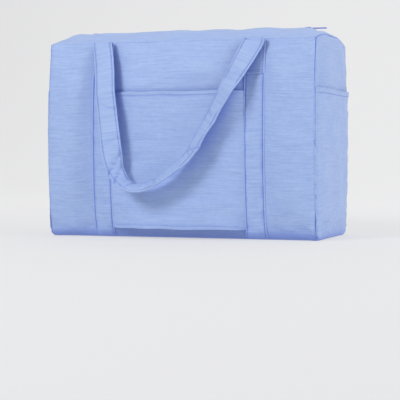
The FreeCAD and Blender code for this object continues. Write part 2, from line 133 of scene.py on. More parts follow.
def mesh_object(name, points, faces, uv=None):
    """New mesh object from an array of points and an array of faces; uv is one pair per point, in metres."""
    mesh = bpy.data.meshes.new(name)
    mesh.from_pydata(np.asarray(points, float).reshape(-1, 3).tolist(), [], np.asarray(faces).tolist())
    if uv is not None:
        loops = np.zeros(len(mesh.loops), int)
        mesh.loops.foreach_get("vertex_index", loops)
        layer = mesh.uv_layers.new(name="cloth")
        layer.data.foreach_set("uv", np.asarray(uv, float).reshape(-1, 2)[loops].ravel())
    mesh.polygons.foreach_set("use_smooth", np.ones(len(mesh.polygons), bool))
    made = bpy.data.objects.new(name, mesh)
    scene.collection.objects.link(made)
    return made


floor_points = np.stack(
    [
        np.broadcast_to(across[None, :], (len(sweep), len(across))),
        np.broadcast_to(sweep_y[:, None], (len(sweep), len(across))),
        np.broadcast_to(sweep_z[:, None], (len(sweep), len(across))),
    ],
    axis=-1,
)
floor = mesh_object("studio_floor", floor_points, grid_faces(len(sweep), len(across)))
paper = bpy.data.materials.new("pale_paper")
paper.use_nodes = True
paper_shader = paper.node_tree.nodes["Principled BSDF"]
paper_shader.inputs["Base Color"].default_value = linear("8a8a8a")
paper_shader.inputs["Roughness"].default_value = 0.9
paper_shader.inputs["Emission Color"].default_value = linear("f2f2f3")
paper_shader.inputs["Emission Strength"].default_value = 0.59
floor.data.materials.append(paper)

# ---------------------------------------------------------------- bag shell
# Limp crinkled nylon cut as a back, a front, a bottom and two end panels, with two flaps over the top.
# One closed shell is inflated as cloth between its seams, then cut into the panels it is sewn from.
MM = 0.001
back_low, back_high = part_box("back_panel")
end_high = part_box("right_side_panel")[1]
bottom_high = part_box("bottom_panel")[1]
half_width = end_high.x
half_depth = bottom_high.y
seam_z = back_high.z
base_radius = back_low.z
crown_z = end_high.z
face_bulge = end_high.y - half_depth
dome_rise = crown_z - seam_z
dome_radius = (half_depth**2 + dome_rise**2) / (2 * dome_rise)

ACROSS, UP, ALONG = 27, 41, 61
hem_columns = np.linspace(-half_width, half_width, ALONG)
up_z = base_radius + (seam_z - base_radius) * np.linspace(0.0, 1.0, UP)
depth_steps = np.sin(np.linspace(-1.0, 1.0, ACROSS) * math.pi / 2)


def depth_place(y):
    """Place of a distance across the bag in grids whose steps crowd, as a sine does, towards both faces."""
    return (np.arcsin(np.clip(np.asarray(y) / half_depth, -1, 1)) * 2 / math.pi + 1) / 2 * (ACROSS - 1)


def face_y(z):
    """Parabola: half the depth, plus the bulge at middle height."""
    middle = (seam_z + base_radius) / 2
    reach = (seam_z - base_radius) / 2
    return half_depth + face_bulge * (1 - ((np.asarray(z) - middle) / reach) ** 2)


def waves(a, b, seed, short, long, count=14):
    """Smooth random field: a sum of cosines over (a, b) with wavelengths from short to long, of height about 1."""
    rng = np.random.default_rng(seed)
    length = rng.uniform(short, long, count)
    heading = rng.uniform(0, 2 * math.pi, count)
    phase = rng.uniform(0, 2 * math.pi, count)
    total = 0.0
    for k in range(count):
        total = total + np.cos(
            (a * math.cos(heading[k]) + b * math.sin(heading[k])) * 2 * math.pi / length[k] + phase[k]
        )
    return total / math.sqrt(count)


def base_profile():
    """Quarter rounds at the long edges of the base: y and z across the depth, from back to front."""
    y = depth_steps * half_depth
    over = np.clip(np.abs(y) - (half_depth - base_radius), 0, base_radius)
    z = base_radius - np.sqrt(np.maximum(base_radius**2 - over**2, 0))
    return y, z


def smooth_step(share):
    """Cubic ease from 0 to 1: three times the square less twice the cube."""
    return share**2 * (3 - 2 * share)


def dome_at(x, y):
    """Height of the top: a circular arch across the depth with each flap puffed up by 3 to 6 mm between the rim and
    the zip, the whole flattened by half over the last 26 mm at each end."""
    arch = crown_z - dome_radius + np.sqrt(dome_radius**2 - np.asarray(y) ** 2)
    puff = (4.5 + 1.7 * waves(x, y, 9, 0.06, 0.17)) * MM
    arch = arch + puff * np.sin(np.clip((half_depth - np.abs(y)) / (half_depth - 14 * MM), 0, 1) * math.pi)
    ease = np.clip((np.abs(x) - half_width + 26 * MM) / (26 * MM), 0, 1)
    return seam_z + (arch - seam_z) * (1 - 0.5 * smooth_step(ease))


base_y, base_z = base_profile()
dome_y = depth_steps * half_depth
STRIP_MIDDLE = 114 * MM


def foot_waves(x):
    """Small bends of the lower edge where the cloth creases against the floor, none at the end seams."""
    return 1.1 * MM * waves(x, 0.0 * x, 15, 0.03, 0.08, 8) * np.clip((half_width - np.abs(x)) / 0.02, 0, 1)


def beside_strips(x):
    """1 along the four load strips, 114 mm from the middle, falling to 0 about 30 mm away from them."""
    return np.exp(-(((np.abs(x) - STRIP_MIDDLE) / (26 * MM)) ** 4))


def face_grid(side):
    """Back or front face: y is the bulged face, with a soft roll just under the rim where the top leans in."""
    x, z = np.meshgrid(hem_columns, up_z)
    roll = np.exp(
        -(((z - seam_z + 14 * MM) / (9 * MM)) ** 2)
    ) * np.cos(np.clip(x / 0.105, -1, 1) * math.pi / 2)
    slack = waves(x, z * 1.6, 3 if side < 0 else 5, 0.09, 0.26) * 1.6 * MM
    rim = np.clip((seam_z - z) / 0.03, 0, 1) * np.clip((half_width - np.abs(x)) / 0.03, 0, 1)
    foot = np.clip((z - base_radius) / 0.03, 0, 1)
    crimp = foot_waves(x) * np.exp(-(z - base_radius) / (18 * MM))
    y = side * (face_y(z) + crimp + (4.0 * MM * roll + slack) * rim * foot * (1 - 0.9 * beside_strips(x)))
    return np.stack([x, y, z], axis=-1)


back_grid = face_grid(-1)
front_grid = face_grid(1)
base_x, base_yy = np.meshgrid(hem_columns, base_y)
base_yy = base_yy + np.sign(base_yy) * foot_waves(base_x) * np.clip(
    (np.abs(base_yy) - 74 * MM) / (14 * MM), 0, 1
)
base_grid = np.stack([base_x, base_yy, np.broadcast_to(base_z[:, None], base_x.shape)], axis=-1)
dome_x, dome_yy = np.meshgrid(hem_columns, dome_y)
dome_grid = np.stack([dome_x, dome_yy, dome_at(dome_x, dome_yy)], axis=-1)


def end_grid(side):
    """Coons patch: an end panel filled in from its four bordering edges, rows upwards, columns back to front."""
    column = -1 if side > 0 else 0
    low, high = base_grid[:, column], dome_grid[:, column]
    left, right = back_grid[:, column], front_grid[:, column]
    u = ((depth_steps + 1) / 2)[None, :, None]
    v = np.linspace(0, 1, UP)[:, None, None]
    ruled = (1 - v) * low[None] + v * high[None] + (1 - u) * left[:, None] + u * right[:, None]
    corners = (
        (1 - u) * (1 - v) * low[0] + u * (1 - v) * low[-1] + (1 - u) * v * high[0] + u * v * high[-1]
    )
    grid = ruled - corners
    # a long curved fold falls from the upper back corner to the far edge, above the pocket
    y, z = grid[..., 1], grid[..., 2]
    away = np.hypot(y + 0.075, z - 0.2) - 0.098
    fold = 2.6 * MM * np.exp(-((away / (7 * MM)) ** 2)) - 1.8 * MM * np.exp(
        -(((away - 12 * MM) / (8 * MM)) ** 2)
    )
    slack = 1.4 * MM * waves(y, z, 21 + side, 0.06, 0.16)
    inside = np.clip(
        (half_depth - np.abs(y)) / 0.02, 0, 1
    ) * np.clip(z / 0.03, 0, 1) * np.clip((seam_z - z) / 0.03, 0, 1)
    grid[..., 0] += side * (fold * (z > 0.17) + slack) * inside
    return grid


shell_patches = {
    "back_panel": back_grid,
    "front_panel": front_grid,
    "bottom_panel": base_grid,
    "top": dome_grid,
    "left_side_panel": end_grid(-1),
    "right_side_panel": end_grid(1),
}


def inflate(patches):
    """Join the patches into one closed shell, inflate it as cloth held at its seams, and read the patches back."""
    spots = np.concatenate([grid.reshape(-1, 3) for grid in patches.values()])
    keys = np.round(spots / (0.2 * MM)).astype(int)
    _, first, back = np.unique(keys, axis=0, return_index=True, return_inverse=True)
    back = back.ravel()
    faces, offset = [], 0
    for name, grid in patches.items():
        quads = grid_faces(*grid.shape[:2])
        if name in ("front_panel", "bottom_panel", "left_side_panel"):
            quads = quads[:, ::-1]
        faces.append(back[quads + offset])
        offset += grid.shape[0] * grid.shape[1]
    shell = mesh_object("shell", spots[first], np.concatenate(faces))
    place = spots[first]
    held = (
        (np.abs(np.abs(place[:, 0]) - half_width) < 1 * MM)
        & (np.abs(np.abs(place[:, 1]) - face_y(np.clip(place[:, 2], base_radius, seam_z))) < 3 * MM)
    )
    held |= (np.abs(place[:, 2] - seam_z) < 1 * MM) | (place[:, 2] < 2 * MM)
    held |= (np.abs(np.abs(place[:, 0]) - half_width) < 1 * MM) & (place[:, 2] > seam_z - 1 * MM)
    held |= (place[:, 2] > seam_z + 1 * MM) & (np.abs(place[:, 1]) < 16 * MM)
    group = shell.vertex_groups.new(name="held")
    group.add(np.nonzero(held)[0].tolist(), 1.0, "REPLACE")
    cloth = shell.modifiers.new("cloth", "CLOTH")
    settings = cloth.settings
    settings.quality = 6
    settings.mass = 0.12
    settings.tension_stiffness = 12.0
    settings.compression_stiffness = 12.0
    settings.shear_stiffness = 4.0
    settings.bending_stiffness = 0.12
    settings.vertex_group_mass = "held"
    settings.use_pressure = True
    settings.uniform_pressure_force = 1.6
    settings.shrink_min = -0.012
    settings.effector_weights.gravity = 0.0
    cloth.collision_settings.use_collision = False
    for number in range(1, 19):
        scene.frame_set(number)
    result = shell.evaluated_get(bpy.context.evaluated_depsgraph_get())
    moved = np.zeros(len(result.data.vertices) * 3)
    result.data.vertices.foreach_get("co", moved)
    moved = moved.reshape(-1, 3)
    shift = moved - place
    reach = np.linalg.norm(shift, axis=1, keepdims=True)
    # the four strips hold the faces back; the cloth between them is free
    on_face = np.abs(place[:, 1:2]) > half_depth - 8 * MM
    freedom = (7 - 6.2 * beside_strips(place[:, :1]) * on_face) * MM
    shift *= np.minimum(1.0, freedom / np.maximum(reach, 1e-9))
    shift[held] = 0.0
    moved_by, offset = shift[back], 0
    for grid in patches.values():
        size = grid.shape[0] * grid.shape[1]
        field = moved_by[offset : offset + size].reshape(grid.shape)
        for _ in range(2):
            field[1:-1, 1:-1] = (field[:-2, 1:-1] + 2 * field[1:-1, 1:-1] + field[2:, 1:-1]) / 4
            field[1:-1, 1:-1] = (field[1:-1, :-2] + 2 * field[1:-1, 1:-1] + field[1:-1, 2:]) / 4
        offset += size
    settled = spots + moved_by
    bpy.data.objects.remove(shell)
    scene.frame_set(1)
    parts, offset = {}, 0
    for name, grid in patches.items():
        size = grid.shape[0] * grid.shape[1]
        parts[name] = settled[offset : offset + size].reshape(grid.shape)
        offset += size
    return parts


shell_parts = inflate(shell_patches)


def steps(count, finer, border=(1, 1)):
    """Sampling places along a grid of count points, finer times denser, with extra ones beside each border."""
    last = count - 1
    places = np.linspace(0.0, last, int(last * finer) + 1)
    edge = np.array([0.06, 0.13, 0.21, 0.3, 0.42, 0.56, 0.72, 0.9])
    parts = [places]
    if border[0]:
        parts.append(edge)
    if border[1]:
        parts.append(last - edge)
    return np.unique(np.round(np.concatenate(parts), 4))


def spline_weights(count, places):
    """Catmull-Rom weights: one row for each place, one column for each of count points."""
    weights = np.zeros((len(places), count))
    cell = np.clip(np.floor(places).astype(int), 0, count - 2)
    t = places - cell
    basis = (
        0.5 * (-t + 2 * t**2 - t**3),
        0.5 * (2 - 5 * t**2 + 3 * t**3),
        0.5 * (t + 4 * t**2 - 3 * t**3),
        0.5 * (t**3 - t**2),
    )
    rows = np.arange(len(places))
    for offset, share in zip((-1, 0, 1, 2), basis):
        column = cell + offset
        before, after = column < 0, column > count - 1
        inside = ~(before | after)
        np.add.at(weights, (rows[inside], column[inside]), share[inside])
        np.add.at(weights, (rows[before], np.zeros(before.sum(), int)), 2 * share[before])
        np.add.at(weights, (rows[before], np.ones(before.sum(), int)), -share[before])
        np.add.at(weights, (rows[after], np.full(after.sum(), count - 1)), 2 * share[after])
        np.add.at(weights, (rows[after], np.full(after.sum(), count - 2)), -share[after])
    return weights


def refine(grid, row_places, column_places):
    """The same surface at other places: smooth curves through the grid's rows and columns."""
    tall = np.einsum("ri,ijk->rjk", spline_weights(grid.shape[0], row_places), grid)
    return np.einsum("cj,rjk->rck", spline_weights(grid.shape[1], column_places), tall)


def grid_normals(grid):
    """Unit normals of a grid, from its two tangents: columns cross rows."""
    normal = np.cross(np.gradient(grid, axis=1), np.gradient(grid, axis=0))
    return normal / np.maximum(np.linalg.norm(normal, axis=-1, keepdims=True), 1e-12)


def run_lengths(grid):
    """Distance along each row and each column of a grid, in metres."""
    across_steps = np.linalg.norm(np.diff(grid, axis=1), axis=-1)
    down_steps = np.linalg.norm(np.diff(grid, axis=0), axis=-1)
    u = np.concatenate([np.zeros((grid.shape[0], 1)), np.cumsum(across_steps, axis=1)], axis=1)
    v = np.concatenate([np.zeros((1, grid.shape[1])), np.cumsum(down_steps, axis=0)], axis=0)
    return u, v


def sewn_edges(grid, outward, sides, depth=0.9 * MM, seed=1, soft=()):
    """Push a panel in at its sewn sides and let it puff and pucker just beside them.

    sides says which of left, right, low and high are sewn, and soft which of them show less. Push in: a narrow
    bell at the edge. Puff: a wider bell 7 mm in, whose height varies along the seam every 8 to 22 mm.
    """
    u, v = run_lengths(grid)
    far_u, far_v = u[:, -1:] - u, v[-1:, :] - v
    push = np.zeros(u.shape)
    for name, away, along in (("left", u, v), ("right", far_u, v), ("low", v, u), ("high", far_v, u)):
        if name not in sides:
            continue
        pucker = waves(along, away * 0.5, seed + len(name), 0.008, 0.022, 10)
        firm = 0.2 if name in soft else 1.0
        push -= firm * depth * np.exp(-((away / (1.5 * MM)) ** 2))
        push += firm * 0.55 * MM * (1.0 + 0.8 * pucker) * np.exp(-(((away - 7 * MM) / (4.5 * MM)) ** 2))
    return grid + outward * push[..., None]


BAG_CENTRE = (0.0, 0.0, 0.14)


def outward_of(grid, centre=BAG_CENTRE):
    """Normals turned so that they point away from the bag's middle."""
    normal = grid_normals(grid)
    away = grid - np.array(centre)
    return normal if np.sum(normal * away) > 0 else -normal


def hollowness(grid, normal):
    """How deep in a fold each point lies, 0 to 1: the concave bend of the surface, averaged over neighbours, used as
    the strength of painted shade in folds and seams.
    """
    bend = np.zeros(grid.shape[:2])
    for axis in (0, 1):
        tangent = np.gradient(grid, axis=axis)
        length = np.maximum(np.linalg.norm(tangent, axis=-1, keepdims=True), 1e-6)
        bend += np.sum(np.gradient(tangent / length, axis=axis) / length * normal, axis=-1)
    for _ in range(2):
        bend[1:-1] = (bend[:-2] + 2 * bend[1:-1] + bend[2:]) / 4
        bend[:, 1:-1] = (bend[:, :-2] + 2 * bend[:, 1:-1] + bend[:, 2:]) / 4
    return np.clip(bend / 300.0 - 0.04, 0.0, 1.0)


def panel_object(name, grid, uv_shift=(0.0, 0.0), thickness=0.9 * MM, centre=BAG_CENTRE):
    """A cloth panel from a fine grid, with its right side out and its thickness inside."""
    u, v = run_lengths(grid)
    normal = outward_of(grid, centre)
    faces = grid_faces(*grid.shape[:2])
    if np.sum(normal * grid_normals(grid)) < 0:
        faces = faces[:, ::-1]
    uv = np.stack([u + uv_shift[0], v + uv_shift[1]], axis=-1)
    made = mesh_object(name, grid, faces, uv)
    # painted shade: the fold depth goes to the material, which turns the colour a deeper blue in folds and along
    # seams
    painted_fold_shade = made.data.attributes.new("painted_fold_shade", "FLOAT", "POINT")
    painted_fold_shade.data.foreach_set("value", hollowness(grid, normal).ravel())
    made.data.update()
    if np.dot(np.array(made.data.polygons[0].normal), normal[0, 0]) < 0:
        made.data.flip_normals()
    wall = made.modifiers.new("cloth_thickness", "SOLIDIFY")
    wall.thickness = thickness
    wall.offset = -1.0
    crisp = made.modifiers.new("cut_edges", "EDGE_SPLIT")
    crisp.split_angle = math.radians(60)
    return made


def new_material(name):
    """Material with nodes, its node tree and its main shader."""
    made = bpy.data.materials.new(name)
    made.use_nodes = True
    return made, made.node_tree, made.node_tree.nodes["Principled BSDF"]


def two_tone(tree, shader, factor, deep, light):
    """Colour the shader from deep to light by a factor."""
    tone = add_node(tree, "ShaderNodeValToRGB", Fac=factor)
    tone.color_ramp.elements[0].color = linear(deep)
    tone.color_ramp.elements[1].color = linear(light)
    tree.links.new(tone.outputs["Color"], shader.inputs["Base Color"])


def crinkled_nylon(name, light, mid, deep, fold):
    """Light crinkled nylon, dyed in the piece: fine creases run along the weft as bumps, and their light and shade is
    also painted into the colour as short level streaks; the fibre gives a soft sheen, and folds, seams and spots
    closed in by nearby surfaces get painted shade of a stronger blue."""
    made, tree, shader = new_material(name)
    cloth_map = add_node(tree, "ShaderNodeUVMap", {"uv_map": "cloth"}).outputs["UV"]
    def noise_at(scale, detail, roughness, distortion=0.0):
        spread = add_node(tree, "ShaderNodeMapping", {"Scale": (*scale, 1.0)}, Vector=cloth_map).outputs[0]
        values = {"Scale": 1.0, "Detail": detail, "Roughness": roughness, "Distortion": distortion}
        return add_node(tree, "ShaderNodeTexNoise", values, Vector=spread).outputs["Fac"]

    # creases 1.9 mm apart up the cloth and about 40 mm long, broad shallow rumples 25 mm apart, crumpled spots
    # 6 mm across, and a plain weave drawn at 0.9 mm, because the real 0.2 mm thread would not show
    crease = noise_at((22.0, 520.0), 5.0, 0.62, 0.35)
    rumple = noise_at((14.0, 46.0), 3.0, 0.5, 0.8)
    crumple = noise_at((120.0, 210.0), 4.0, 0.6, 0.5)
    weave = noise_at((1100.0, 1100.0), 1.0, 0.5)
    # tone, painted light and shade of the relief: 0.6 of the crease, 0.26 of the crumple and 0.14 of the rumple
    mixed = add_node(tree, "ShaderNodeMath", {"operation": "MULTIPLY", 1: 0.6})
    tree.links.new(crease, mixed.inputs[0])
    for layer, share in ((crumple, 0.26), (rumple, 0.14)):
        added = add_node(tree, "ShaderNodeMath", {"operation": "MULTIPLY_ADD", 1: share})
        tree.links.new(layer, added.inputs[0])
        tree.links.new(mixed.outputs[0], added.inputs[2])
        mixed = added
    tone = add_node(tree, "ShaderNodeValToRGB", Fac=mixed.outputs[0])
    ramp = tone.color_ramp
    ramp.elements[0].position = 0.35
    ramp.elements[0].color = linear(deep)
    ramp.elements[1].position = 0.66
    ramp.elements[1].color = linear(light)
    middle = ramp.elements.new(0.5)
    middle.color = linear(mid)
    # painted shade in folds and seams, and where nearby surfaces close in: the deeper a point lies, the stronger the
    # blue
    painted_fold_shade = add_node(tree, "ShaderNodeAttribute", {"attribute_name": "painted_fold_shade"}).outputs["Fac"]
    # ambient occlusion paints shade where other surfaces, the floor too, close in on a point
    nearby = add_node(tree, "ShaderNodeAmbientOcclusion", {"samples": 6, "Distance": 28 * MM}).outputs["AO"]
    shaded = add_node(
        tree, "ShaderNodeMapRange", {"From Min": 0.2, "From Max": 0.85, "To Min": 0.65, "To Max": 0.0}
    )
    tree.links.new(nearby, shaded.inputs["Value"])
    painted_shade_amount = add_node(tree, "ShaderNodeMath", {"operation": "MAXIMUM"})
    tree.links.new(painted_fold_shade, painted_shade_amount.inputs[0])
    tree.links.new(shaded.outputs[0], painted_shade_amount.inputs[1])
    painted_shade_mix = add_node(tree, "ShaderNodeMix", {"data_type": "RGBA", "blend_type": "MIX"})
    tree.links.new(painted_shade_amount.outputs[0], painted_shade_mix.inputs["Factor"])
    tree.links.new(tone.outputs["Color"], painted_shade_mix.inputs[6])
    painted_shade_mix.inputs[7].default_value = linear(fold)
    tree.links.new(painted_shade_mix.outputs[2], shader.inputs["Base Color"])
    bump = add_node(tree, "ShaderNodeBump", {"Strength": 0.3, "Distance": 0.1 * MM}, Height=weave)
    for height, strength, distance in (
        (crease, 0.55, 0.22 * MM), (crumple, 0.5, 0.45 * MM), (rumple, 0.5, 1.0 * MM)
    ):
        values = {"Strength": strength, "Distance": distance}
        bump = add_node(tree, "ShaderNodeBump", values, Height=height, Normal=bump.outputs[0])
    tree.links.new(bump.outputs[0], shader.inputs["Normal"])
    shine = add_node(
        tree, "ShaderNodeMapRange", {
            "From Min": 0.3, "From Max": 0.7, "To Min": 0.5, "To Max": 0.66
        }, Value=crease
    )
    tree.links.new(shine.outputs[0], shader.inputs["Roughness"])
    shader.inputs["Specular IOR Level"].default_value = 0.32
    shader.inputs["Sheen Weight"].default_value = 0.22
    shader.inputs["Sheen Roughness"].default_value = 0.45
    shader.inputs["Sheen Tint"].default_value = linear("dfe6fb")
    return made


# the three ramp colours paint the crease streaks' light and shade; the last colour is the painted shade of folds and
# seams
nylon = crinkled_nylon("crinkled_nylon", "abc0e9", "9eb5e3", "90a8db", "5f7ad6")


def finish(made, material, slot, *nodes, body=None):
    """Give a piece its material and, if one is given, its body, and hide the CAD nodes it stands for; slot is not
    used.
    """
    made.data.materials.append(material)
    if body:
        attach(made, body)
    if nodes:
        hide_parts(*nodes)
    return made


def finish_cloth(made, body, *nodes):
    """Finish a piece of the bag's own cloth that rides on one body."""
    return finish(made, nylon, "crinkle_nylon", *nodes, body=body)


fine_up = steps(UP, 2.6)
fine_along = steps(ALONG, 2.4)
fine_across = steps(ACROSS, 2.6, (0, 0))
ALL_SIDES = ("left", "right", "low", "high")
panel_surfaces = {}
for name, rows, columns, sewn_sides in (
    ("back_panel", fine_up, fine_along, ("left", "right", "high")),
    ("front_panel", fine_up, fine_along, ("left", "right", "high")),
    ("bottom_panel", fine_across, fine_along, ("left", "right")),
    ("left_side_panel", fine_up, fine_across, ALL_SIDES),
    ("right_side_panel", fine_up, fine_across, ALL_SIDES),
):
    surface = refine(shell_parts[name], rows, columns)
    outward = outward_of(surface)
    soft = ("high",) if name in ("back_panel", "front_panel") else ()
    surface = sewn_edges(surface, outward, sewn_sides, seed=len(name), soft=soft)
    panel_surfaces[name] = surface
    panel = panel_object(name + "_cloth", surface, (0.37 * len(name), 0.21 * len(name)))
    finish_cloth(panel, "bag", name)

# ---------------------------------------------------------------- sewing thread
# Polyester thread, one shade deeper than the cloth, lock-stitched at 3 mm. Each stitch is a small arched bead
# that sinks into the cloth at both ends.
thread, thread_tree, thread_shader = new_material("polyester_thread")
ply = add_node(
    thread_tree, "ShaderNodeTexWave", {"Scale": 900.0, "Distortion": 1.0, "Detail": 1.0},
    Vector=add_node(thread_tree, "ShaderNodeTexCoord").outputs["Object"],
)
two_tone(thread_tree, thread_shader, ply.outputs["Fac"], "6a80cc", "8a9ee2")
thread_shader.inputs["Roughness"].default_value = 0.6
STITCH_PITCH = 3.0 * MM
STITCH_LENGTH = 2.3 * MM
THREAD_RADIUS = 0.3 * MM


def unit(vectors):
    """Vectors scaled to length 1 along their last axis."""
    return vectors / np.linalg.norm(vectors, axis=-1, keepdims=True)


def run_along(line):
    """Distance of each point of a line from its first, in metres."""
    return np.concatenate([[0.0], np.cumsum(np.linalg.norm(np.diff(line, axis=0), axis=1))])


def even_places(line, pitch):
    """Distances along a line at a fixed pitch, as fractional positions in its list of points."""
    run = run_along(line)
    wanted = np.arange(pitch / 2, run[-1], pitch)
    return np.interp(wanted, run, np.arange(len(run)))


def at_places(values, places):
    """Rows of an array read at fractional positions."""
    low = np.clip(np.floor(places).astype(int), 0, len(values) - 2)
    share = (places - low)[:, None]
    return values[low] * (1 - share) + values[low + 1] * share


def stitch_beads(lines):
    """Points and faces for all stitches on a list of (points, outward normals): rings of a bead along each stitch."""
    rings = np.array([-0.5, -0.32, 0.0, 0.32, 0.5])
    girth = np.array([0.35, 0.85, 1.0, 0.85, 0.35])
    arch = np.array([-0.5, 0.1, 0.35, 0.1, -0.5])
    around = np.linspace(0, 2 * math.pi, 6, endpoint=False)
    all_points, all_faces, offset = [], [], 0
    for line, normals in lines:
        places = even_places(line, STITCH_PITCH)
        middle, out = at_places(line, places), at_places(normals, places)
        along = unit(at_places(np.gradient(line, axis=0), places))
        side = unit(np.cross(along, out))
        spot = (
            middle[:, None, None]
            + along[:, None, None] * (rings * STITCH_LENGTH)[None, :, None, None]
            + side[:, None, None] * (girth[:, None] * np.cos(around) * THREAD_RADIUS)[None, :, :, None]
            + out[:, None, None]
            * ((girth[:, None] * np.sin(around) + arch[:, None]) * THREAD_RADIUS)[None, :, :, None]
        )
        ring_faces = []
        for ring in range(len(rings) - 1):
            for k in range(len(around)):
                a, b = ring * len(around) + k, ring * len(around) + (k + 1) % len(around)
                ring_faces.append((a, b, b + len(around), a + len(around)))
        ring_faces = np.array(ring_faces)
        count, bead_points = len(places), len(rings) * len(around)
        faces = (ring_faces[None] + (np.arange(count) * bead_points)[:, None, None]).reshape(-1, 4)
        all_points.append(spot.reshape(-1, 3))
        all_faces.append(faces + offset)
        offset += count * bead_points
    return np.concatenate(all_points), np.concatenate(all_faces)


def sew(name, body, lines):
    """One object that holds every stitch of the given lines, riding on a body."""
    points, faces = stitch_beads(lines)
    made = mesh_object(name, points, faces)
    return finish(made, thread, "thread", body=body)


def line_on(grid, outward, row=None, column=None, lift=0.15 * MM):
    """A row or a column of a fine grid as a stitch line just above the cloth."""
    pick = (row, slice(None)) if row is not None else (slice(None), column)
    return grid[pick] + outward[pick] * lift, outward[pick]


# ---------------------------------------------------------------- strap strips
# A folded strip of the same cloth, 32 mm wide, sewn up each face with two rows of stitches 3 mm in from its
# edges. It carries the load of the bag; the strap goes on upwards from its top, where bars of stitches lock it.
strip_low, strip_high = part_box("strap_strip_back_right")
strip_inner, strip_outer = strip_low.x, strip_high.x
STRIP_TOP = 238.0 * MM
STRIP_LIFT = 1.5 * MM
STITCH_INSET = 3.0 * MM


def row_place(z):
    """Place of a height in the rows of a face grid."""
    return (np.asarray(z) - base_radius) / (seam_z - base_radius) * (UP - 1)


def column_place(x):
    """Place of a distance along the bag in the columns of a face grid."""
    return (np.asarray(x) + half_width) / (2 * half_width) * (ALONG - 1)


def band_on_face(face_name, x_places, z_places, lift):
    """Part of a face's settled surface, lifted outwards; lift has one value per point. Below the face it follows
    the rounded edge of the base, whose first four rows lie inside the round."""
    base = shell_parts["bottom_panel"]
    under = base[4:0:-1] if face_name == "back_panel" else base[-5:-1]
    z_places = np.asarray(z_places)
    rows = 4 + np.where(
        z_places < base_radius, -np.interp(-z_places, -base_z[:5], np.arange(5.0)), row_place(z_places)
    )
    grid = refine(np.concatenate([under, shell_parts[face_name]]), rows, column_place(x_places))
    outward = outward_of(grid)
    return grid + outward * lift[..., None], outward


def edged_places(low, high, spacing, inset):
    """Places from low to high, denser in the 2 mm at each edge and with one exactly at each stitch row."""
    near = np.array([0.0, 0.3, 0.8, 1.5, 2.2, 2.7, 3.0, 3.3, 3.9]) * MM * inset / (3.0 * MM)
    inner = np.arange(low + 5.5 * MM, high - 5.5 * MM, spacing)
    return np.unique(np.round(np.concatenate([low + near, inner, high - near]), 6))


strip_z = np.unique(np.concatenate([np.arange(3 * MM, STRIP_TOP, 2.4 * MM), [STRIP_TOP]]))
strip_lines = []
for face_name, side_name in (("back", "left"), ("back", "right"), ("front", "left"), ("front", "right")):
    x_places = edged_places(strip_inner, strip_outer, 3.0 * MM, STITCH_INSET)
    if side_name == "left":
        x_places = -x_places[::-1]
    away = np.minimum(x_places - x_places[0], x_places[-1] - x_places)
    profile = STRIP_LIFT * np.clip(away / (0.9 * MM), 0.0, 1.0) ** 0.5
    profile -= 0.55 * MM * np.exp(-(((away - STITCH_INSET) / (0.8 * MM)) ** 2))
    grid_x, grid_z = np.meshgrid(x_places, strip_z)
    ripple = 0.35 * MM * waves(grid_x, grid_z, 31 + len(face_name) + len(side_name), 0.012, 0.04)
    lift = profile[None, :] + ripple * np.clip(away / (3 * MM), 0, 1)[None, :]
    band, outward = band_on_face(face_name + "_panel", x_places, strip_z, lift)
    node = f"strap_strip_{face_name}_{side_name}"
    strip = panel_object(node + "_cloth", band, (len(node) * 0.11, 0.0), 1.2 * MM)
    finish_cloth(strip, "bag", node)
    for inset_column in (
        int(np.argmin(np.abs(x_places - (x_places[0] + STITCH_INSET)))),
        int(np.argmin(np.abs(x_places - (x_places[-1] - STITCH_INSET)))),
    ):
        strip_lines.append(line_on(band, outward, column=inset_column))
sew("strip_stitches", "bag", strip_lines)

BAR_LIFT = 3.15 * MM
bar_lines = []
for face_name in ("back", "front"):
    for side in (-1, 1):
        for drop in (2.5 * MM, 5.0 * MM):
            x_places = np.linspace(strip_inner + 3 * MM, strip_outer - 3 * MM, 20) * side
            bar, outward = band_on_face(
                face_name + "_panel", np.sort(x_places), np.array(
                    [STRIP_TOP - drop - 1 * MM, STRIP_TOP - drop]
                ),
                np.full((2, 20), BAR_LIFT),
            )
            bar_lines.append((bar[1], outward[1]))
bars = sew("bar_tacks", "bag", bar_lines)
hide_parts("bar_stitches")

# ---------------------------------------------------------------- trolley sleeve
# A wide band of the cloth, caught under the two back strips and hemmed at its upper and lower edges. It stands
# off the back by the thickness of a suitcase handle, with rounded sides and a nearly flat front.
sleeve_low, sleeve_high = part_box("trolley_sleeve")
sleeve_half = sleeve_high.x
sleeve_front = -sleeve_low.y
HEM_DEPTH = 5.5 * MM
sleeve_u = np.linspace(-1.0, 1.0, 101)
hem_near = np.array([0.0, 0.4, 0.9, 1.6, 2.6, 3.6, 4.4, 4.9, 5.3, 5.7, 6.2, 7.5, 9.0, 11.0]) * MM
sleeve_z = np.unique(
    np.concatenate(
        [sleeve_low.z + hem_near, np.arange(
            sleeve_low.z + 0.014, sleeve_high.z - 0.013, 2.4 * MM
        ), sleeve_high.z - hem_near]
    )
)


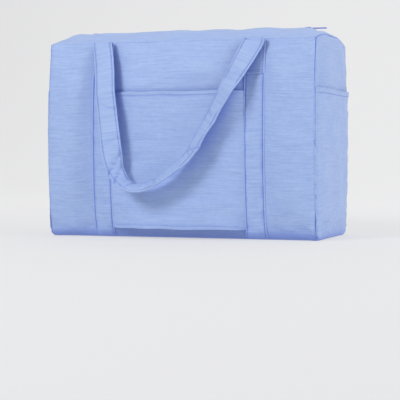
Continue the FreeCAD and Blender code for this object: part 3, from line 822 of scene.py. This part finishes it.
def sleeve_surface():
    """Band between the strips: its distance from the back grows as one minus a high power of the place across,
    and it sags forwards in shallow level rumples."""
    u, z = np.meshgrid(sleeve_u, sleeve_z)
    x = u * (sleeve_half + 2 * MM)
    wall = refine(shell_parts["back_panel"], row_place(sleeve_z), column_place(x[0]))[..., 1] - 0.8 * MM
    out = 1 - np.abs(u) ** 5
    body = np.clip((1 - np.abs(u)) / 0.25, 0, 1)
    rumple = waves(x * 0.5, z, 77, 0.02, 0.07, 18) * 0.75 * MM * body
    y = wall + (-(sleeve_front - 1.0 * MM) - wall) * out + rumple
    from_edge = np.minimum(z - sleeve_z[0], sleeve_z[-1] - z)
    hem = np.clip((HEM_DEPTH - from_edge) / (0.5 * MM) + 0.5, 0, 1)
    y -= (0.4 * hem - 0.25 * np.exp(-(((from_edge - HEM_DEPTH + 0.6 * MM) / (0.6 * MM)) ** 2))) * MM * body
    x = x * (1 + 0.004 * np.cos(z * 60.0) * body)
    edge_wave = np.clip(1 - from_edge / 0.02, 0, 1) * waves(x, z * 0, 78, 0.03, 0.09) * 0.4 * MM * body
    return np.stack([x, y, z + edge_wave], axis=-1)


sleeve_grid = sleeve_surface()
sleeve_out = outward_of(sleeve_grid)
sleeve = panel_object("trolley_sleeve_cloth", sleeve_grid, (2.1, 0.4), 1.0 * MM)
finish_cloth(sleeve, "bag", "trolley_sleeve")
hem_rows = [int(np.argmin(np.abs(sleeve_z - (sleeve_low.z + HEM_DEPTH - 0.6 * MM)))),
            int(np.argmin(np.abs(sleeve_z - (sleeve_high.z - HEM_DEPTH + 0.6 * MM))))]
sew("sleeve_hem_stitches", "bag", [
    line_on(sleeve_grid[:, 4:-4], sleeve_out[:, 4:-4], row=row) for row in hem_rows
])

# ---------------------------------------------------------------- end slip pockets
# A patch of the cloth over the lower three quarters of each end, caught in the end seams and the base seam,
# with a narrow hem along its open top. It bellies out a little more towards the mouth.
pocket_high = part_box("right_side_pocket")[1]
pocket_reach = pocket_high.x - half_width
pocket_top = pocket_high.z
pocket_u = np.unique(np.concatenate([np.linspace(-1, 1, 75), [-0.995, -0.985, 0.985, 0.995]]))
pocket_z = np.unique(np.concatenate([np.linspace(1.5 * MM, pocket_top - 0.012, 84), pocket_top - hem_near]))


def end_half_depth(z):
    """Half the depth of an end panel at each height: rounded at the base, bulged above it."""
    low = half_depth - base_radius + np.sqrt(np.maximum(base_radius**2 - (base_radius - z) ** 2, 0))
    return np.where(z < base_radius, low, face_y(np.maximum(z, base_radius)))


pocket_lines = []
for side, word in ((-1, "left"), (1, "right")):
    u, z = np.meshgrid(pocket_u, pocket_z)
    y = u * (end_half_depth(z) - 1.2 * MM)
    belly = (1 - np.abs(u) ** 4) * np.clip((z - 1 * MM) / 0.03, 0, 1) ** 0.7
    reach = 1.2 * MM + belly * (pocket_reach - 3.5 * MM) * (0.45 + 0.55 * z / pocket_top)
    reach += waves(y, z, 51 + side, 0.03, 0.09) * 0.8 * MM * belly
    from_top = pocket_top - z
    reach += 0.5 * MM * np.clip((7 * MM - from_top) / (0.5 * MM) + 0.5, 0, 1) * np.clip(belly * 3, 0, 1)
    end_face = refine(
        shell_parts[f"{word}_side_panel"], np.clip(
            pocket_z / crown_z, 0, 1
        ) * (UP - 1), depth_place(pocket_u * half_depth)
    )[..., 0]
    x = np.where(side > 0, np.maximum(end_face, half_width), np.minimum(end_face, -half_width)) * 0.5
    x = x + side * half_width * 0.5 + side * reach
    z = z - 1.5 * MM * np.clip(1 - from_top / 0.02, 0, 1) * (1 - u**2)
    grid = np.stack([x, y, z], axis=-1)
    outward = outward_of(grid)
    grid = sewn_edges(grid, outward, ("left", "right", "low"), 0.9 * MM, 90 + side)
    pocket = panel_object(f"{word}_pocket_cloth", grid, (3.3 + side, 0.9))
    finish_cloth(pocket, "bag", f"{word}_side_pocket")
    hem_row = int(np.argmin(np.abs(pocket_z - (pocket_top - 7 * MM))))
    pocket_lines.append(line_on(grid[:, 2:-2], outward[:, 2:-2], row=hem_row))
sew("pocket_hem_stitches", "bag", pocket_lines)

# ---------------------------------------------------------------- top flaps and zip
# Two strips of the cloth close the mouth in a low arch, each with half of a nylon coil zip sewn under its folded
# edge. The ends of the zip stay shut, so the flaps part like a lens when they are lifted.
FLAP_EDGE = 10.0 * MM


def open_with_flap(made):
    """Bake a half of the closure's placement into its mesh."""
    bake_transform(made)


flap_columns = steps(ALONG, 2.0)
flap_middle = int(np.argmin(np.abs(flap_columns - (ALONG - 1) / 2)))
flap_rows = np.arange(0.0, 11.6, 0.38)
edge_rows = depth_place(-FLAP_EDGE - np.array([3.4, 3.0, 2.6, 1.5, 0.7, 0.0]) * MM)
flap_rows = np.unique(np.concatenate([flap_rows[flap_rows < edge_rows[0] - 0.1], edge_rows]))


def ribbed_tape(name, light, deep, rib):
    """Narrow woven tape: ribs across it at a fixed spacing, seen as fine bars of light and shade."""
    made, tree, shader = new_material(name)
    tape_map = add_node(tree, "ShaderNodeUVMap", {"uv_map": "cloth"}).outputs["UV"]
    # a wave texture of scale 1 repeats every 0.314 m along U
    ribs = add_node(
        tree, "ShaderNodeTexWave", {
            "Scale": 0.314 / rib, "Distortion": 0.6, "Detail": 1.0, "Detail Scale": 2.0
        },
        Vector=tape_map,
    ).outputs["Fac"]
    fluff = add_node(
        tree, "ShaderNodeTexNoise", {"Scale": 700.0, "Detail": 3.0}, Vector=tape_map
    ).outputs["Fac"]
    blend = add_node(tree, "ShaderNodeMath", {"operation": "MULTIPLY_ADD", 1: 0.5})
    tree.links.new(fluff, blend.inputs[0])
    half_rib = add_node(tree, "ShaderNodeMath", {"operation": "MULTIPLY", 1: 0.5})
    tree.links.new(ribs, half_rib.inputs[0])
    tree.links.new(half_rib.outputs[0], blend.inputs[2])
    two_tone(tree, shader, blend.outputs[0], deep, light)
    relief = add_node(
        tree, "ShaderNodeBump", {"Strength": 0.6, "Distance": 0.25 * MM}, Height=blend.outputs[0]
    )
    tree.links.new(relief.outputs[0], shader.inputs["Normal"])
    shader.inputs["Roughness"].default_value = 0.72
    shader.inputs["Sheen Weight"].default_value = 0.2
    return made


zip_tape = ribbed_tape("woven_zip_tape", "93a9e2", "7f96d8", 1.0 * MM)

for face, word in ((-1, "back"), (1, "front")):
    rows = flap_rows if face < 0 else (ACROSS - 1) - flap_rows[::-1]
    body = f"{word}_flap"
    whole = refine(shell_parts["top"], rows, flap_columns)
    whole_out = outward_of(whole)
    sewn = ["left", "right", "low" if face < 0 else "high"]
    whole = sewn_edges(whole, whole_out, sewn, seed=face + 7, soft=("low", "high"))
    inner = np.abs(whole[..., 1]) < FLAP_EDGE + 2.2 * MM
    whole = whole + whole_out * np.where(inner, 0.5 * MM, 0.0)[..., None]
    for side, side_word in ((-1, "left"), (1, "right")):
        part = slice(0, flap_middle + 1) if side < 0 else slice(flap_middle, None)
        grid, outward = whole[:, part], whole_out[:, part]
        u_start = 0.0 if side < 0 else float(run_lengths(whole)[0][:, flap_middle].mean())
        flap = panel_object(f"{word}_flap_cloth_{side_word}", grid, (u_start, 1.3 + face))
        finish(flap, nylon, "crinkle_nylon", f"top_flap_{word}")
        open_with_flap(flap)
        stitch_row = int(np.argmin(np.abs(np.abs(grid[:, 5, 1]) - (FLAP_EDGE + 2.6 * MM))))
        points, faces = stitch_beads([line_on(grid, outward, row=stitch_row)])
        seam = mesh_object(f"{word}_flap_stitches_{side_word}", points, faces)
        finish(seam, thread, "thread")
        open_with_flap(seam)

        tape_x = np.linspace(0.0, side * (half_width - 3 * MM), 90)
        tape_y = face * np.array([1.0, 1.6, 3.2, 5.0, 7.5, 10.0, 13.0]) * MM
        x, y = np.meshgrid(tape_x, tape_y)
        drop = np.array([0.9, 1.0, 1.0, 1.1, 1.4, 2.1, 2.5])[:, None] * MM
        z = dome_at(x, y) - drop
        tape = panel_object(
            f"{word}_zip_tape_{side_word}", np.stack([x, y, z], axis=-1), (0, 2.0 * face), 0.6 * MM
        )
        finish(tape, zip_tape, "zip_tape_cloth", f"zip_tape_{word}")
        open_with_flap(tape)

# ---------------------------------------------------------------- zip coil
# A nylon monofilament wound into a coil, 1.6 mm to the turn, sewn along each tape. The two coils mesh, half a
# turn apart.
COIL_PITCH = 1.6 * MM
COIL_WIRE = 0.42 * MM
monofilament, filament_tree, filament_shader = new_material("nylon_monofilament")
filament_noise = add_node(
    filament_tree, "ShaderNodeTexNoise", {"Scale": 1800.0, "Detail": 2.0},
    Vector=add_node(filament_tree, "ShaderNodeTexCoord").outputs["Object"],
)
two_tone(filament_tree, filament_shader, filament_noise.outputs["Fac"], "7085cf", "8d9fe0")
filament_shader.inputs["Roughness"].default_value = 0.32


def tube(path, radius, sides=6):
    """Points and faces of a round tube along a path: rings turned about the tangent."""
    along = unit(np.gradient(path, axis=0))
    helper = np.where(np.abs(along[:, 2:3]) < 0.9, [[0.0, 0.0, 1.0]], [[1.0, 0.0, 0.0]])
    side = unit(np.cross(along, helper))
    up = np.cross(side, along)
    around = np.linspace(0, 2 * math.pi, sides, endpoint=False)
    rings = path[:, None] + radius * (
        np.cos(around)[None, :, None] * side[:, None] + np.sin(around)[None, :, None] * up[:, None]
    )
    i = np.arange(len(path) - 1)[:, None] * sides
    k = np.arange(sides)[None, :]
    nxt = (k + 1) % sides
    faces = np.stack([i + k, i + nxt, i + nxt + sides, i + k + sides], axis=-1).reshape(-1, 4)
    return rings.reshape(-1, 3), faces


for face, word in ((-1, "back"), (1, "front")):
    for side, side_word in ((-1, "left"), (1, "right")):
        run = np.arange(0.0, half_width - 9 * MM, COIL_PITCH / 9)
        angle = run / COIL_PITCH * 2 * math.pi + (0 if face < 0 else math.pi)
        path = np.stack(
            [
                side * run,
                face * (1.55 * MM + 1.25 * MM * np.cos(angle)),
                dome_at(side * run, 0.0) - 0.35 * MM + 0.75 * MM * np.sin(angle),
            ],
            axis=-1,
        )
        points, faces = tube(path, COIL_WIRE, 5)
        coil = mesh_object(f"{word}_zip_coil_{side_word}", points, faces)
        finish(coil, monofilament, "zip_coil_nylon", f"zip_coil_{word}")
        open_with_flap(coil)

# Folded tab that covers each closed end of the zip, sewn into the end seam.
for side, word in ((-1, "left"), (1, "right")):
    tab_x = side * np.linspace(half_width - 14 * MM, half_width - 1.5 * MM, 12)
    tab_y = np.linspace(-11.5 * MM, 11.5 * MM, 25)
    x, y = np.meshgrid(tab_x, tab_y)
    from_end = np.minimum(np.abs(x) - abs(tab_x[0]), 11.5 * MM - np.abs(y))
    z = dome_at(x, y) + 1.3 * MM * np.clip(from_end / (1.0 * MM), 0, 1) ** 0.5
    tab = panel_object(f"{word}_zip_end_tab", np.stack([x, y, z], axis=-1), (0.2 * side, 2.6), 0.8 * MM)
    finish_cloth(tab, "bag", f"zip_end_{word}")

# ---------------------------------------------------------------- zip sliders and pull tabs
# Die-cast zinc, enamelled in the bag's colour: a slider body with a bridge, and a flat tab that swings on it.
enamel, enamel_tree, enamel_shader = new_material("enamelled_zinc")
enamel_place = add_node(enamel_tree, "ShaderNodeTexCoord").outputs["Object"]
orange_peel = add_node(
    enamel_tree, "ShaderNodeTexNoise", {"Scale": 1400.0, "Detail": 2.0}, Vector=enamel_place
)
two_tone(enamel_tree, enamel_shader, orange_peel.outputs["Fac"], "6f86d6", "8196e0")
enamel_bump = add_node(enamel_tree, "ShaderNodeBump", {
    "Strength": 0.25, "Distance": 0.05 * MM
}, Height=orange_peel.outputs["Fac"])
enamel_tree.links.new(enamel_bump.outputs[0], enamel_shader.inputs["Normal"])
enamel_shader.inputs["Roughness"].default_value = 0.3
enamel_shader.inputs["Coat Weight"].default_value = 0.4


def rounded_copy(node, bevel):
    """Copy of a CAD node's mesh, merged and with its edges rounded, as a piece of its own."""
    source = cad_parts[node]
    work = bmesh.new()
    work.from_mesh(source.data)
    bmesh.ops.remove_doubles(work, verts=work.verts, dist=0.02 * MM)
    bmesh.ops.dissolve_limit(work, angle_limit=math.radians(2), verts=work.verts, edges=work.edges)
    mesh = bpy.data.meshes.new(node + "_rounded")
    work.to_mesh(mesh)
    work.free()
    made = bpy.data.objects.new(node + "_rounded", mesh)
    scene.collection.objects.link(made)
    if bevel:
        round_edges = made.modifiers.new("rounded_edges", "BEVEL")
        round_edges.width = bevel
        round_edges.segments = 3
        round_edges.limit_method = "ANGLE"
        round_edges.angle_limit = math.radians(35)
    return made


for node, body in (
    ("zip_slider_left", "slider_left"),
    ("zip_slider_right", "slider_right"),
    ("zip_puller_left", "puller_left"),
    ("zip_puller_right", "puller_right"),
    ("stow_zip_slider", "stow_slider"),
    ("stow_zip_puller", "stow_puller"),
):
    hardware = rounded_copy(node, 0.28 * MM)
    finish(hardware, enamel, "painted_slider", node, body=body)

# ---------------------------------------------------------------- shoulder straps
# Each strap is a flat tube of the cloth with a thin soft filling, 30 mm wide, stitched 3 mm in from both edges.
# It comes up from its strips, folds over at the rim and hangs down outside; the back one hangs twisted.
STRAP_HALF = 15.0 * MM
STRAP_THICK = 2.4 * MM
FOLD_Y = 95.5 * MM
FOLD_Z = 277.0 * MM
FOLD_RADIUS = 2.9 * MM
HANG_LOWEST = 66.0 * MM
ROUTE_POINTS = 230
BACK_ROUTE = (
    (-114, 277, 0), (-110, 262, 0), (-105, 240, 0), (-101, 215, 0), (-97, 190, 0), (-93, 165, 2),
    (-89, 140, 8), (-85, 118, 22), (-79, 98, 42), (-68, 82, 58), (-54, 73, 62), (-38, 73, 62),
    (-20, 80, 62), (-2, 91, 61), (16, 105, 57), (31, 122, 52), (43, 142, 46), (56, 164, 42),
    (69, 188, 38), (82, 212, 30), (94, 236, 18), (105, 258, 8), (114, 277, 0),
)


def front_route():
    """Even drape: two hanging runs joined by a round bottom, turning edge-on towards the middle."""
    angle = np.linspace(0, math.pi, 25)
    middle = (strip_inner + strip_outer) / 2
    x = -middle * np.sign(np.cos(angle)) * np.abs(np.cos(angle)) ** 0.72
    low = HANG_LOWEST + 7 * MM
    z = FOLD_Z - (FOLD_Z - low) * np.sin(angle) ** 0.9
    return np.stack([x / MM, z / MM, 62.0 * np.sin(angle) ** 2.2], axis=-1)


def hang_y(z):
    """Distance of the hanging strap from the middle plane: out over the sleeve's hem, then more steeply down."""
    knee_z = sleeve_high.z
    knee_y = sleeve_front + 10 * MM
    start_y = FOLD_Y + 2.8 * MM
    above = start_y + (knee_y - start_y) * (FOLD_Z - z) / (FOLD_Z - knee_z)
    below = knee_y + (136 * MM - knee_y) * (knee_z - z) / (knee_z - HANG_LOWEST)
    return np.where(z > knee_z, above, below)


def strap_path(route, face):
    """Middle line, flat direction, turn and fold share: up the riser, over the fold, along the route, and back."""
    route = np.array(route, float)
    places = np.linspace(0, len(route) - 1, ROUTE_POINTS)
    fine = spline_weights(len(route), places) @ route
    x, z, turned = fine[:, 0] * MM, fine[:, 1] * MM, np.radians(fine[:, 2])
    hanging = np.stack([x, face * hang_y(z), z], axis=-1)
    rise = np.linspace(STRIP_TOP - 7 * MM, FOLD_Z, 24)
    panel_grid = shell_parts["back_panel" if face < 0 else "front_panel"]
    bend = np.linspace(0, math.pi, 11)[1:-1]

    def riser(end_x):
        wall = np.abs(
            refine(panel_grid, row_place(rise), column_place(np.array([end_x])))[:, 0, 1]
        ) + 1.9 * MM
        lean = smooth_step(np.clip((rise - FOLD_Z + 16 * MM) / (16 * MM), 0, 1))
        y = wall + (FOLD_Y - FOLD_RADIUS - wall) * lean
        return np.stack([np.full(len(rise), end_x), face * y, rise], axis=-1)

    def fold(end_x):
        return np.stack(
            [
                np.full(len(bend), end_x),
                face * (FOLD_Y - FOLD_RADIUS * np.cos(bend)),
                FOLD_Z + FOLD_RADIUS * np.sin(bend),
            ],
            axis=-1,
        )

    first, last = x[0], x[-1]
    line = np.concatenate([riser(first), fold(first), hanging, fold(last)[::-1], riser(last)[::-1]])
    lead = len(rise) + len(bend)
    turns = np.concatenate([np.zeros(lead), turned, np.zeros(lead)])
    along = unit(np.gradient(line, axis=0))
    flat = np.cross(along, np.array([0.0, face, 0.0]))
    flat[:lead] = (face, 0, 0)
    flat[-lead:] = (-face, 0, 0)
    flat = unit(flat - along * np.sum(flat * along, axis=1, keepdims=True))
    for _ in range(6):
        flat[1:-1] = (flat[:-2] + 2 * flat[1:-1] + flat[2:]) / 4
    flat = unit(flat)
    out = np.cross(flat, along)
    across_way = flat * np.cos(turns)[:, None] + out * np.sin(turns)[:, None]
    normal = np.cross(across_way, along)
    return line, across_way, normal, turns, lead


def squared(wave, power):
    """A sine or cosine raised to a power below 1 with its sign kept, which squares off a circle."""
    return np.sign(wave) * np.abs(wave) ** power


def strap_surface(route, face, seed, creases):
    """Flattened tube: a superellipse carried along the path, pinched at its stitch rows and rumpled along it.

    Each crease is (place on the route, slant, depth, width): a sharp valley right across the strap, with a thin line
    of painted shade along it.
    """
    line, across_way, normal, turns, lead = strap_path(route, face)
    run = run_along(line)
    around = np.linspace(0, 2 * math.pi, 48, endpoint=False)
    wide = squared(np.cos(around), 0.45)
    tall = squared(np.sin(around), 0.9)
    half = STRAP_HALF * (1 - 0.24 * np.sin(np.abs(turns)) ** 2)
    thick = np.full(len(run), STRAP_THICK)
    ends = np.minimum(np.arange(len(run)), np.arange(len(run))[::-1])
    thick = thick * (0.5 + 0.5 * np.clip((ends - lead + 6) / 18, 0, 1))
    reach = half[:, None] * wide[None, :]
    inset = half[:, None] - np.abs(reach)
    pinch = 1 - 0.55 * np.exp(-(((inset - STITCH_INSET) / (1.0 * MM)) ** 2))
    creased = waves(run[:, None], reach * 0.6, seed, 0.012, 0.05, 16)
    soft = 1 + 0.16 * creased * np.clip(turns * 2.0, 0.35, 1)[:, None]
    lift = thick[:, None] * tall[None, :] * pinch * soft
    bow = 0.9 * MM * waves(
        run[:, None], reach * 0.3, seed + 5, 0.03, 0.08, 10
    ) * np.clip(turns * 2, 0.1, 1)[:, None]
    bow = bow * np.clip((ends - lead) / 12, 0, 1)[:, None]
    folded = np.zeros(bow.shape)
    for place, slant, depth, width in creases:
        middle = run[lead + int(place / (len(route) - 1) * (ROUTE_POINTS - 1))]
        away = np.abs(run[:, None] - middle - slant * reach)
        bow = bow - depth * MM * np.exp(-away / (width * MM))
        # painted shade along the crease: strongest on its slanted side, in a line about 1 mm wide
        reached = np.clip(1.3 - np.abs(reach / STRAP_HALF - np.sign(slant) * 0.5), 0, 1)
        folded = np.maximum(folded, reached * min(depth / 3, 0.7) * np.exp(-((away / (1.1 * MM)) ** 2)))
    grid = line[:, None] + across_way[:, None] * reach[..., None] + normal[:, None] * (lift + bow)[..., None]
    return grid, run, line, across_way, normal, half, folded


def closed_faces(rows, columns):
    """Quads of a tube whose columns go once round."""
    i = np.arange(rows - 1)[:, None] * columns
    k = np.arange(columns)[None, :]
    nxt = (k + 1) % columns
    return np.stack([i + k, i + nxt, i + nxt + columns, i + k + columns], axis=-1).reshape(-1, 4)


def close_ends(made):
    """Fill the two open ends of a tube and turn all its faces outwards."""
    work = bmesh.new()
    work.from_mesh(made.data)
    bmesh.ops.holes_fill(work, edges=[edge for edge in work.edges if edge.is_boundary], sides=0)
    bmesh.ops.recalc_face_normals(work, faces=work.faces)
    work.to_mesh(made.data)
    work.free()


back_creases = (
    (1.6, 0.3, 0.5, 3.0), (
        4.2, -0.4, 0.9, 2.5
    ), (6.2, 0.35, 0.8, 2.5), (7.6, 1.0, 3.4, 3.5), (8.4, 0.8, 2.2, 2.5),
    (9.7, -0.5, 1.2, 3.0), (
        12.0, -0.4, 1.0, 2.5
    ), (15.2, 0.7, 2.6, 3.0), (17.4, -0.5, 0.8, 3.0), (19.8, 0.4, 0.6, 3.0),
)
front_creases = ((5.0, 0.4, 0.8, 3.0), (9.0, -0.7, 1.6, 3.0), (14.5, 0.6, 1.4, 3.0), (19.0, 0.3, 0.7, 3.0))
for face, word, route, creases in (
    (-1, "back", BACK_ROUTE, back_creases),
    (1, "front", front_route(), front_creases),
):
    grid, run, line, across_way, normal, half, folded = strap_surface(route, face, 200 + face, creases)
    rows, columns = grid.shape[:2]
    girth = np.linspace(0, 2 * STRAP_HALF * 2, columns)
    uv = np.stack(
        [np.broadcast_to(girth, (rows, columns)), np.broadcast_to(run[:, None], (rows, columns))], axis=-1
    )
    strap = mesh_object(f"{word}_strap_cloth", grid, closed_faces(rows, columns), uv)
    # painted shade of folds, seams and creases, for the material to darken
    painted_fold_shade = strap.data.attributes.new("painted_fold_shade", "FLOAT", "POINT")
    outward = unit(grid - line[:, None])
    painted_fold_shade.data.foreach_set("value", np.maximum(0.8 * hollowness(grid, outward), folded).ravel())
    close_ends(strap)
    finish(strap, nylon, "crinkle_nylon", f"{word}_shoulder_strap", f"{word}_strap_padding")
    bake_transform(strap)
    lines = []
    for side in (-1, 1):
        for up in (-1, 1):
            row = line + across_way * (side * (half - STITCH_INSET))[:, None] + normal * (up * 1.25 * MM)
            lines.append((row, normal * up))
    points, faces = stitch_beads(lines)
    seam = mesh_object(f"{word}_strap_stitches", points, faces)
    finish(seam, thread, "thread")
    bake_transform(seam)

# ---------------------------------------------------------------- inner seam bindings
# Woven tape folded over the raw edges of each end seam, inside the bag: up the back, under the base and up the
# front. It shows when the flaps are lifted.
binding_low, binding_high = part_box("seam_binding_right")
binding_tape = ribbed_tape("woven_binding", "93a8de", "7b91d2", 1.2 * MM)
binding_inset = 2.9 * MM


def binding_path():
    """U in the depth plane: down the back wall, round the base corners, along the base and up the front wall."""
    wall_z = np.linspace(binding_high.z, base_radius, 60)
    corner = np.linspace(0, math.pi / 2, 8)[1:-1]
    bend = base_radius - binding_inset
    corner_y = -(half_depth - base_radius) - bend * np.cos(corner)
    corner_z = base_radius - bend * np.sin(corner)
    base_run = np.linspace(-(half_depth - base_radius), 0, 20)
    y = np.concatenate([-(face_y(wall_z) - binding_inset), corner_y, base_run])
    z = np.concatenate([wall_z, corner_z, np.full(20, binding_inset)])
    return np.concatenate([y, -y[-2::-1]]), np.concatenate([z, z[-2::-1]])


for side, word in ((-1, "left"), (1, "right")):
    path_y, path_z = binding_path()
    path = np.stack([path_y, path_z], axis=-1)
    along = unit(np.gradient(path, axis=0))
    inward = np.stack([-along[:, 1], along[:, 0]], axis=-1)
    around = np.linspace(0, 2 * math.pi, 20, endpoint=False)
    wide = squared(np.cos(around), 0.5) * (binding_high.x - binding_low.x) / 2
    tall = np.sin(around) * 0.65 * MM
    run = run_along(path)
    ripple = waves(run[:, None], wide[None, :], 301 + side, 0.015, 0.05, 10) * 0.25 * MM
    x = np.broadcast_to(side * (binding_low.x + binding_high.x) / 2 + wide[None, :], (len(path), 20))
    yz = path[:, None] + inward[:, None] * (tall[None, :] + ripple)[..., None]
    grid = np.concatenate([x[..., None], yz], axis=-1)
    uv = np.stack(np.broadcast_arrays(run[:, None], wide[None, :] + 0.01), axis=-1)
    binding = mesh_object(f"{word}_binding_tape", grid, closed_faces(len(path), 20), uv)
    close_ends(binding)
    finish(binding, binding_tape, "binding_cloth", f"seam_binding_{word}", body="bag")
    flat_line = np.stack([np.full(len(path), side * (binding_low.x + 1.2 * MM)), path_y, path_z], axis=-1)
    flat_out = np.concatenate([np.zeros((len(path), 1)), inward], axis=-1)
    sew(f"{word}_binding_stitches", "bag", [(flat_line + flat_out * 0.65 * MM, flat_out)])

# ---------------------------------------------------------------- inside stow pouch
# Flat pouch of the same cloth that the bag folds into: two layers sewn round three sides, closed along the top
# by its own short zip, and hung from a tab sewn to the inside of the front.
pouch_low, pouch_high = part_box("stow_pocket")
pouch_half = pouch_high.x
pouch_middle = (pouch_low.y + pouch_high.y) / 2
pouch_u = np.unique(np.concatenate([np.linspace(-1, 1, 81), [-0.99, -0.978, -0.965, 0.965, 0.978, 0.99]]))
pouch_z = np.unique(
    np.concatenate([
        pouch_low.z + np.array([0, 1, 2, 3, 4.5, 6]) * MM, np.linspace(pouch_low.z + 8 * MM, pouch_high.z, 52)
    ])
)
for way, word in ((-1, "inner"), (1, "outer")):
    u, z = np.meshgrid(pouch_u, pouch_z)
    up = (z - pouch_low.z) / (pouch_high.z - pouch_low.z)
    side_puff = 1 - np.abs(u) ** 10
    low_puff = 1 - (1 - np.clip(up / 0.12, 0, 1)) ** 3
    puff = 4.3 * MM * side_puff * low_puff
    fold = waves(
        u * pouch_half, z, 411 + way, 0.03, 0.09
    ) * 0.45 * MM * side_puff * low_puff * np.clip((1 - up) * 8, 0, 1)
    grid = np.stack([u * pouch_half, pouch_middle + way * (0.5 * MM + puff) + fold, z], axis=-1)
    outward = outward_of(grid, (0.0, pouch_middle, 0.13))
    grid = sewn_edges(grid, outward, ("left", "right", "low"), 0.3 * MM, 420 + way)
    layer = panel_object(f"stow_pouch_{word}", grid, (4.4 + way, 1.1), 0.7 * MM, (0.0, pouch_middle, 0.13))
    finish_cloth(layer, "bag", "stow_pocket")

tab_low, tab_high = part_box("stow_pocket_tab")
tab_x = np.linspace(tab_low.x, tab_high.x, 70)
tab_share = np.linspace(0, 1, 9)
front_inside = refine(
    shell_parts["front_panel"], row_place(np.array([tab_high.z])), column_place(tab_x)
)[0, :, 1]
x, share = np.meshgrid(tab_x, tab_share)
tab_y = pouch_high.y - 0.8 * MM + (front_inside[None, :] - 0.6 * MM - pouch_high.y + 0.8 * MM) * share
tab_z = tab_high.z - 1 * MM - 1.2 * MM * np.sin(share * math.pi) + 0.3 * MM * waves(x, tab_y, 433, 0.02, 0.06)
pouch_tab = panel_object(
    "stow_pouch_tab", np.stack([x, tab_y, tab_z], axis=-1), (5.5, 0.3), 0.8 * MM, (0, 0.09, 0.1)
)
finish_cloth(pouch_tab, "bag", "stow_pocket_tab")

for word in ("inner", "outer"):
    tape_low, tape_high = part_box(f"stow_zip_tape_{word}")
    x, z = np.meshgrid(np.linspace(tape_low.x, tape_high.x, 80), np.linspace(tape_low.z, tape_high.z, 9))
    y = (tape_low.y + tape_high.y) / 2 + 0.15 * MM * waves(x, z, 440 + len(word), 0.02, 0.05)
    tape = panel_object(
        f"stow_tape_{word}", np.stack([x, y, z], axis=-1), (0.2, 6.0), 0.6 * MM, (0, pouch_middle, 0.19)
    )
    finish(tape, zip_tape, "zip_tape_cloth", f"stow_zip_tape_{word}", body="bag")
    coil_low, coil_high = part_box(f"stow_zip_coil_{word}")
    run = np.arange(coil_low.x, coil_high.x, COIL_PITCH / 9)
    angle = run / COIL_PITCH * 2 * math.pi
    path = np.stack(
        [
            run,
            (coil_low.y + coil_high.y) / 2 + 0.7 * MM * np.cos(angle),
            (coil_low.z + coil_high.z) / 2 + 0.65 * MM * np.sin(angle),
        ],
        axis=-1,
    )
    points, faces = tube(path, 0.34 * MM, 5)
    coil = mesh_object(f"stow_coil_{word}", points, faces)
    finish(coil, monofilament, "zip_coil_nylon", f"stow_zip_coil_{word}", body="bag")
